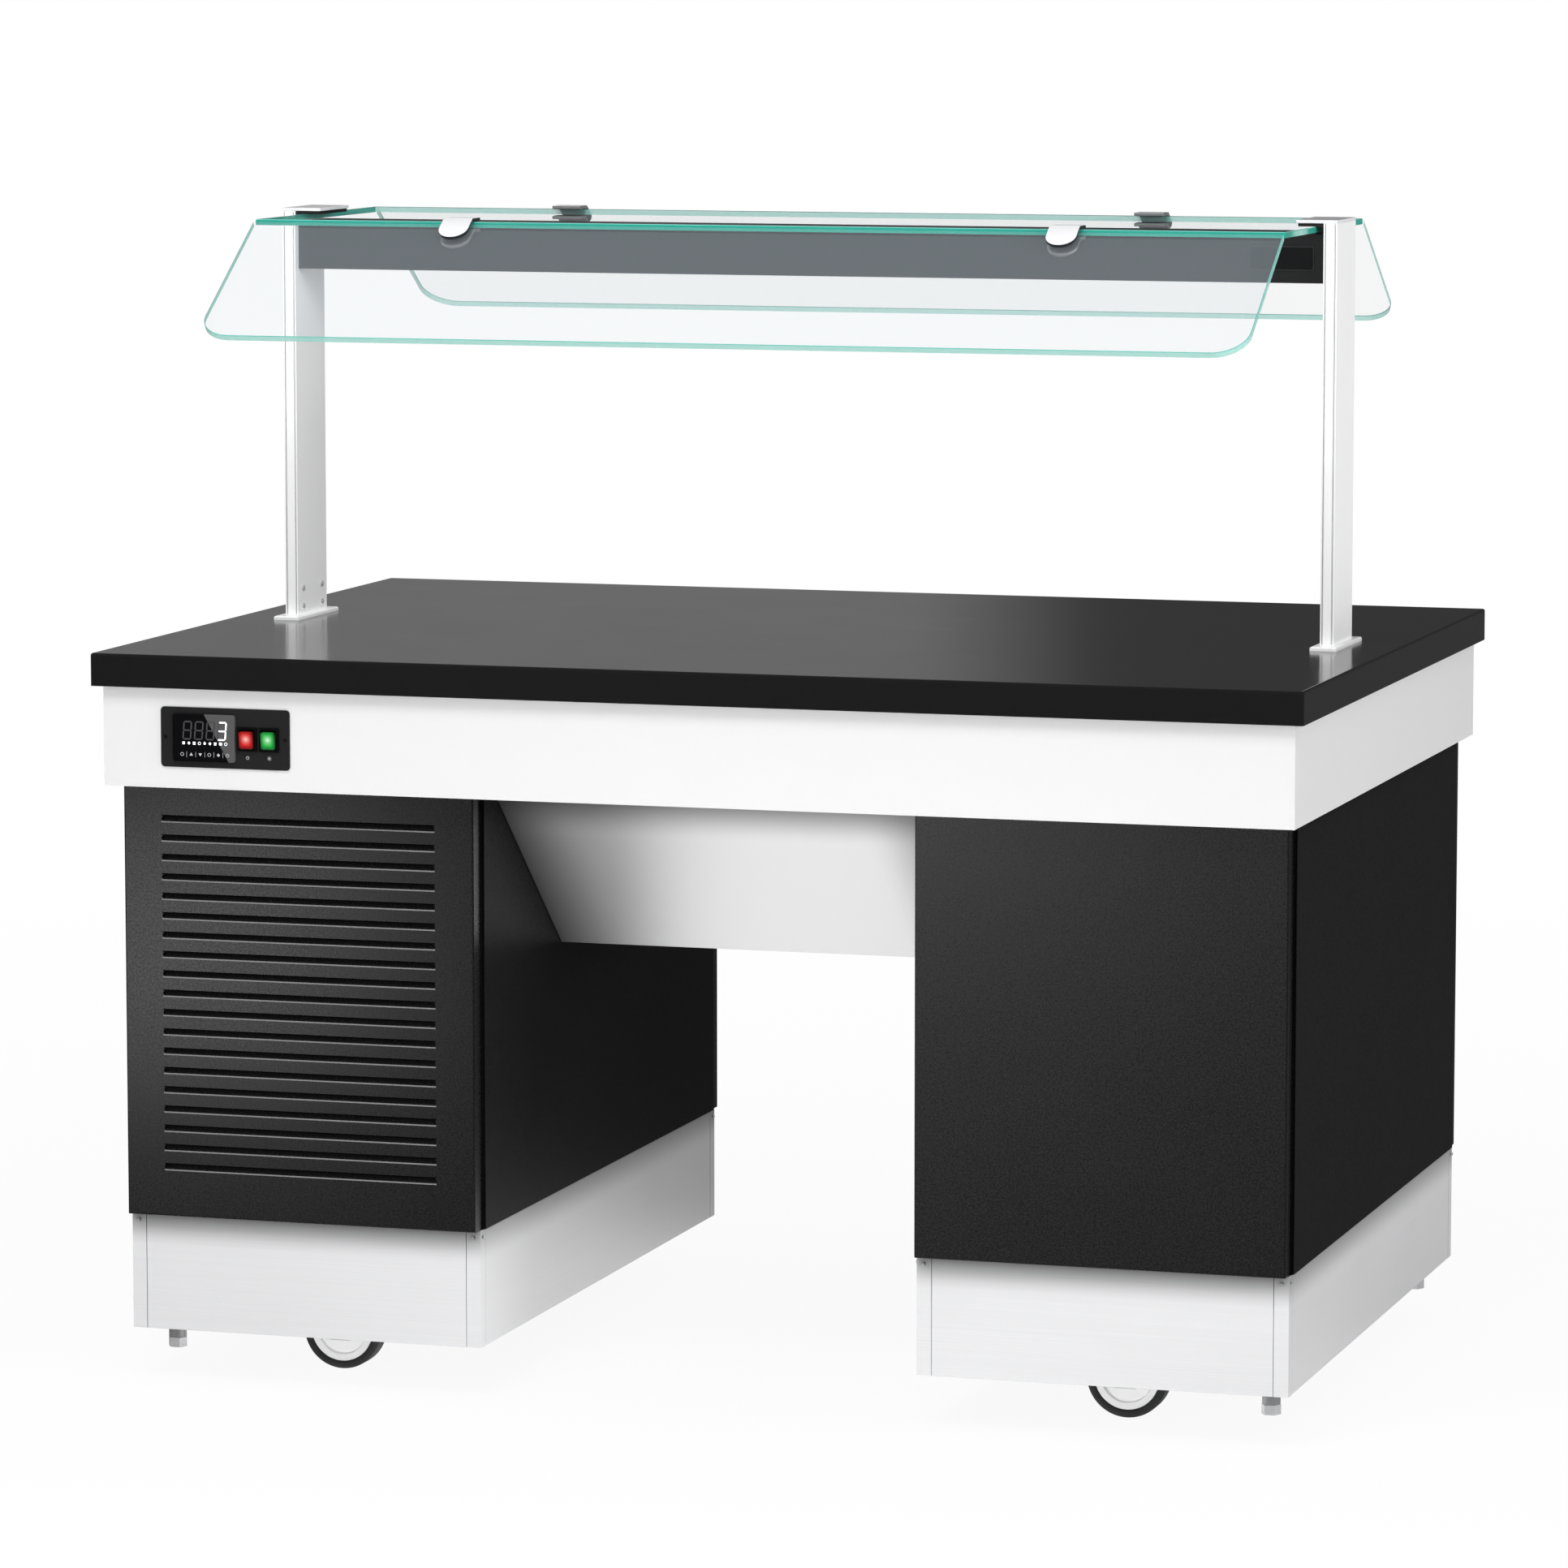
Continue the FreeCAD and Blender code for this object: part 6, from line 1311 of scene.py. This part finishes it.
@dataclass
class Canopy(Assembly):
    """Posts, beam, glass and its clamps."""

    nodes = ("post_", "canopy_posts", "lamp_", "beam_nameplate", "clamp_", "glass_")
    half: float = 652 * MM
    ridge: float = 218 * MM
    top: float = 1412 * MM
    thick: float = 8 * MM
    gap: float = 5 * MM
    slope: float = 33.4
    long: float = 240 * MM
    corner: float = 42 * MM
    corner_steps: int = 16
    arris: float = 0.8 * MM
    post_inner: float = 662 * MM
    post_outer: float = 679 * MM
    post_deep: float = 51 * MM
    post_edge: float = 0.5 * MM
    cap_edge: float = 0.7 * MM
    beam_edge: float = 0.8 * MM
    groove_in: float = 2.2 * MM
    groove_wide: float = 0.7 * MM
    groove_low: float = 6 * MM
    dome_y: float = 33 * MM
    dome_z: tuple[float, float] = (915 * MM, 938 * MM)
    clamp_edge: float = 0.6 * MM
    clamp_flat: float = 0.9
    plate_corner: float = 3 * MM
    plate_rim: float = 1.1 * MM
    plate_step: float = 0.6 * MM

    def build(self) -> None:
        """Builds glass and screws and breaks the edges of the metal."""
        for node, width, finish in (
                ("canopy_posts", self.post_edge, ""), ("post_caps", self.cap_edge, "clamp_steel"),
                ("lamp_beam", self.beam_edge, ""), ("clamp_inner_plates", self.post_edge, "plate_steel")):
            softened(node, width, FINE_STEPS, finish)
        self.clamps()
        self.nameplate()
        self.glass()
        self.grooves()
        places = [((self.post_inner * side, y, z), (-side, 0, 0)) for side in (-1, 1)
                  for y in (-self.dome_y, self.dome_y) for z in self.dome_z]
        finished("dome_screws", DomeScrews().build("dome_screws", places), COUNTER, "bright_steel", "post_screws")

    def clamps(self) -> None:
        """Near-white outer plates with dark front rims and grey rear rims, painted reflections of polished steel."""
        plates = softened("clamp_outer_plates", self.clamp_edge, FINE_STEPS, "clamp_steel")
        for name in ("rim_painted_reflection", "plate_steel"):
            plates.data.materials.append(FINISHES[name].material())
        tilt = math.radians(self.slope)
        faces = (Vector((0, -math.sin(tilt), math.cos(tilt))), Vector((0, math.sin(tilt), math.cos(tilt))),
                 Vector((0, 0, 1)))
        # Rims by the way a face points: painted dark reflection at the front, painted grey at the rear
        for polygon in plates.data.polygons:
            if max(polygon.normal.dot(way) for way in faces) < self.clamp_flat:
                polygon.material_index = 1 if polygon.center.y < 0 else 2

    def nameplate(self) -> None:
        """A bare glossy plate with round corners and a paler rim."""
        low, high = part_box("beam_nameplate")
        middle, size = (low + high) / 2, high - low
        outer = rounded(middle.x, middle.z, size.x, size.z, self.plate_corner)
        inner = rounded(middle.x, middle.z, size.x - 2 * self.plate_rim, size.z - 2 * self.plate_rim,
                        self.plate_corner - self.plate_rim)
        step = low.y + self.plate_step
        rim = mesh_of("nameplate_rim", prisms([outer], step, high.y), FINISHES["plate_rim"])
        finished("nameplate_rim", rim, COUNTER, "black_plastic", "beam_nameplate")
        face = mesh_of("nameplate_face", prisms([inner], low.y, step), FINISHES["plate_gloss"])
        finished("nameplate_face", face, COUNTER, "black_plastic")

    def grooves(self) -> None:
        """Painted shade strips for fine upright grooves near the corners of both posts' front and rear edges."""
        foot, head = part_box("canopy_posts")
        rise = (foot.z + self.groove_low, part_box("post_caps")[0].z - self.groove_wide)
        shape = bmesh.new()
        for side in (-1, 1):
            for across in (self.post_inner + self.groove_in, self.post_outer - self.groove_in):
                for y in (-self.post_deep, self.post_deep):
                    bar = bmesh.ops.create_cube(shape, size=1)["verts"]
                    size = Vector((self.groove_wide, self.groove_wide / 2, rise[1] - rise[0]))
                    bmesh.ops.scale(shape, vec=size, verts=bar)
                    bmesh.ops.translate(shape, vec=(across * side, y, sum(rise) / 2), verts=bar)
        finished("post_grooves", mesh_of("post_grooves", shape, GROOVE_SHADE), COUNTER, "post_aluminium")

    def outline(self, inset: float, low: float, high: float, corner: float) -> Outline:
        """A pane's outline, rounded at its low corners, drawn in from its edge.

        Args:
            inset: how far it is drawn in.
            low: the pane's low edge in its own plane.
            high: its high edge.
            corner: radius of the two low corners.

        Returns:
            The closed outline, its high edge first.
        """
        x, bottom, top, radius = self.half - inset, low + inset, high - inset, max(corner - inset, 0)
        points = [(x, top), (-x, top)]
        if radius <= 0:
            return points + [(-x, bottom), (x, bottom)]
        for side, start in ((-1, 180), (1, 270)):
            for index in range(self.corner_steps + 1):
                angle = math.radians(start + 90 * index / self.corner_steps)
                centre = (x - radius) * side
                points.append((centre + radius * math.cos(angle), bottom + radius + radius * math.sin(angle)))
        return points

    def pane(self, low: float, high: float, corner: float, placed: Callable[[Vector], Vector]) -> bmesh.types.BMesh:
        """One pane with ground edges.

        Args:
            low: its low edge in its own plane.
            high: its high edge.
            corner: radius of the two low corners.
            placed: where a point of the level pane goes.

        Returns:
            The shape. Its high edge, the low edge of a square pane and all its other edges have numbers of their own.
        """
        shape = bmesh.new()
        levels = ((self.arris, 0.0), (0.0, -self.arris), (0.0, self.arris - self.thick), (self.arris, -self.thick))
        rings = []
        for inset, z in levels:
            flat = self.outline(inset, low, high, corner)
            rings.append([shape.verts.new(placed(Vector((x, y, z)))) for x, y in flat])
        shape.faces.new(rings[0])
        shape.faces.new(list(reversed(rings[-1])))
        count = len(rings[0])
        for level, (upper, lower) in enumerate(zip(rings, rings[1:])):
            for index in range(count):
                after = (index + 1) % count
                edge = HIGH_EDGE if index == 0 else LOW_EDGE if corner <= 0 and index == 2 else OTHER_EDGES
                face = shape.faces.new((upper[index], lower[index], lower[after], upper[after]))
                face.material_index = (edge + 1, edge, 0)[level]
        bmesh.ops.recalc_face_normals(shape, faces=shape.faces)
        return shape

    def glass(self) -> None:
        """The level pane and the two sloping ones."""
        turn = Matrix.Rotation(math.radians(self.slope), 3, "X")
        foot = Vector((0, -self.ridge, self.top))
        near, faint = FINISHES["clear_glass"], FINISHES["level_glass"]
        fold, outer, rear = (FOLD_EDGE, FOLD_ARRIS), (OUTER_EDGE, OUTER_ARRIS), (REAR_EDGE, REAR_ARRIS)
        panes = (
            ("glass_top", self.gap - self.ridge, self.ridge - self.gap, 0.0,
             lambda p: p + Vector((0, 0, self.top)), (faint, *rear, *fold, *fold)),
            ("glass_front", -self.long, -self.gap, self.corner,
             lambda p: turn @ p + foot, (near, near, FOLD_ARRIS, *fold, *outer)),
            ("glass_rear", -self.long, -self.gap, self.corner,
             lambda p: (turn @ p + foot) * Vector((1, -1, 1)), (faint, faint, faint, *rear, *rear)),
        )
        for node, low, high, corner, placed, finishes in panes:
            mesh = mesh_of(f"{node}_pane", self.pane(low, high, corner, placed), *finishes)
            finished(f"{node}_pane", mesh, COUNTER, "clear_glass", node)


@dataclass(frozen=True)
class Lamp:
    """A rectangular soft lamp that points at a target.

    size is its width and height and power its watts. only names the pieces that it lights and gleams on; it lights
    all, without a gleam, where that is empty.
    """

    name: str
    place: Point
    target: Point
    size: Flat
    power: float
    only: tuple[str, ...] = ()

    def build(self) -> None:
        """Hangs the lamp."""
        data = bpy.data.lights.new(self.name, "AREA")
        data.shape = "RECTANGLE"
        data.size, data.size_y = self.size
        data.energy = self.power
        item = linked(self.name, data)
        item.location = self.place
        item.rotation_euler = (Vector(self.target) - Vector(self.place)).to_track_quat("-Z", "Y").to_euler()
        item.visible_camera = False
        item.visible_transmission = False
        item.visible_glossy = bool(self.only)
        if self.only:
            lit = bpy.data.collections.new(f"{self.name}_lit")
            for node in self.only:
                lit.objects.link(bpy.data.objects.get(f"{node}_piece") or frame["nodes"][node])
            item.light_linking.receiver_collection = lit


LAMPS = (
    Lamp("overhead", (-0.2, -2.8, 4.2), (0, -0.3, 0.4), (1.7, 1.5), 90),
    Lamp("low_left", (-3.6, -7.0, 1.2), (0, 0, 0.7), (2.4, 1.2), 68),
    Lamp("right", (6.2, -1.4, 1.8), (0.2, 0, 0.5), (2.8, 2.2), 175),
    Lamp("low_front", (0.2, -2.0, 0.15), (0, -0.3, 0.05), (2.2, 0.2), 9),
    Lamp("gleam_left", (-1.3, -2.1, 0.3), (-0.6, -0.48, 0.55), (0.5, 0.4), 3.1, ("left_louvre_panel",)),
    Lamp("gleam_middle", (-2.0, -7.0, 0.6), (0, 0, 0.7), (1.0, 0.8), 54, ("right_front_panel",)),
    Lamp("posts", (-0.05, -0.75, 1.9), (0, 0, 1.15), (0.4, 0.3), 3.2, ("canopy_posts",)),
    Lamp("gap", (0.24, 0, 0.12), (-0.3, 0, 0.12), (0.9, 0.1), 0.8, ("kick_plates", "kick_corners")),
    Lamp("hubs", (-0.2, -2.2, 0.12), (-0.2, 0, 0.06), (1.4, 0.1), 6,
         tuple(f"castor_hub_{name}" for name in CORNER_NAMES)),
)


@dataclass
class Studio:
    """White studio with soft lamps and the camera.

    place to sensor are the camera's. The floor fades from near to far, and its reflection grows dim from under to
    beyond. ambient is the sky's light, mirrored what a reflection shows of it, and floor_mirrored of the floor.
    bright_side and dark_side change that behind the counter, on either side of a line with the slope side_slope.
    """

    place: Point = (2.5371, -8.4033, 1.7641)
    tilt: float = 83.13
    turn: float = 17.01
    lens: float = 162.26
    sensor: float = 36
    ambient: float = 0.54
    near: float = 1.4
    far: float = 4.5
    under: float = 0.5
    beyond: float = 0.9
    mirrored: float = 0.14
    floor_mirrored: float = 0.09
    bright_side: float = 0.2
    dark_side: float = 0.08
    side_slope: float = 0.2716
    side_sharp: float = 40
    back_sharp: float = 4
    floor_reach: float = 60
    floor_pale: Colour = (0.9, 0.9, 0.9)
    shadow: float = 0.07

    def build(self) -> None:
        """Sets the world, floor, lamps and camera."""
        scene = bpy.context.scene
        scene.view_settings.view_transform = "Standard"
        self.world(scene)
        self.floor()
        for lamp in LAMPS:
            lamp.build()
        data = bpy.data.cameras.new("camera")
        data.lens = self.lens
        data.sensor_width = self.sensor
        camera = linked("camera", data)
        camera.location = self.place
        camera.rotation_euler = (math.radians(self.tilt), 0, math.radians(self.turn))
        scene.camera = camera

    def ray(self, graph: Graph, *kinds: str) -> Value:
        """One for rays of the named kinds and nought for all others."""
        parts = [graph.node("ShaderNodeLightPath", out=f"Is {kind} Ray") for kind in kinds]
        return sum(parts[1:], parts[0]).clamped()

    def world(self, scene: bpy.types.Scene) -> None:
        """White to look at, softer as a light and dim in reflections, brighter there at the back left.

        Args:
            scene: the scene that it lights.
        """
        scene.world = bpy.data.worlds.new("studio")
        scene.world.use_nodes = True
        graph = Graph(scene.world.node_tree)
        across, depth = (graph.along(axis, "Generated") for axis in "XY")
        leftward = ((depth * -self.side_slope - across) * self.side_sharp + 0.5).clamped()
        behind = (depth * self.back_sharp).clamped()
        level = self.mirrored + behind * (leftward * self.bright_side - self.dark_side)
        glossy = self.ray(graph, "Glossy")
        seen = self.ray(graph, "Camera", "Transmission")
        unseen = self.ambient + glossy * (level - self.ambient)
        strength = unseen + seen * (1.0 - unseen)
        sky = graph.node("ShaderNodeBackground", {"Color": (1, 1, 1, 1), "Strength": strength})
        graph.finish(sky, "ShaderNodeOutputWorld")

    def floor(self) -> None:
        """A pale floor that keeps a light shadow near the object and fades to white."""
        mesh = bpy.data.meshes.new("floor")
        corners = [(x * self.floor_reach, y * self.floor_reach, 0) for x, y in SQUARE]
        mesh.from_pydata(corners, [], [(0, 1, 2, 3)])
        made = bpy.data.materials.new("pale_floor")
        made.use_nodes = True
        graph = Graph(made.node_tree)
        where = graph.node("ShaderNodeTexCoord", out="Object")
        away = graph.node("ShaderNodeVectorMath", {0: where}, out="Value", operation="LENGTH")
        fade = ((away - self.near) * (1 / (self.far - self.near))).clamped()
        dull = ((away - self.under) * (1 / (self.beyond - self.under))).clamped()
        matt = graph.node("ShaderNodeBsdfDiffuse", {"Color": (*self.floor_pale, 1)})
        white, dim = (graph.node("ShaderNodeEmission", {"Color": (1, 1, 1, 1), "Strength": strength})
                      for strength in (1.0, self.floor_mirrored))
        amount = self.ray(graph, "Camera", "Transmission") * ((1 - self.shadow) + fade * self.shadow)
        looked_at = graph.node("ShaderNodeMixShader", {0: amount, 1: matt, 2: white})
        mirrored = graph.node("ShaderNodeMixShader", {0: dull, 1: white, 2: dim})
        glossy = (self.ray(graph, "Glossy") - self.ray(graph, "Transmission")).clamped()
        graph.finish(graph.node("ShaderNodeMixShader", {0: glossy, 1: looked_at, 2: mirrored}))
        mesh.materials.append(made)
        linked("floor", mesh)


def main() -> None:
    """Dresses the counter's nodes, then builds its pieces in order and the studio."""
    logging.basicConfig(level=logging.INFO, format="%(message)s")
    parts = (Inside(), CounterTop(), Cabinets(), Screws(), Undercarriage(), ControlPanel(), Canopy())
    for part in parts:
        part.dress()
    for part in (*parts, Studio()):
        LOG.info("building %s", type(part).__name__)
        part.build()


if __name__ == "__main__":
    main()
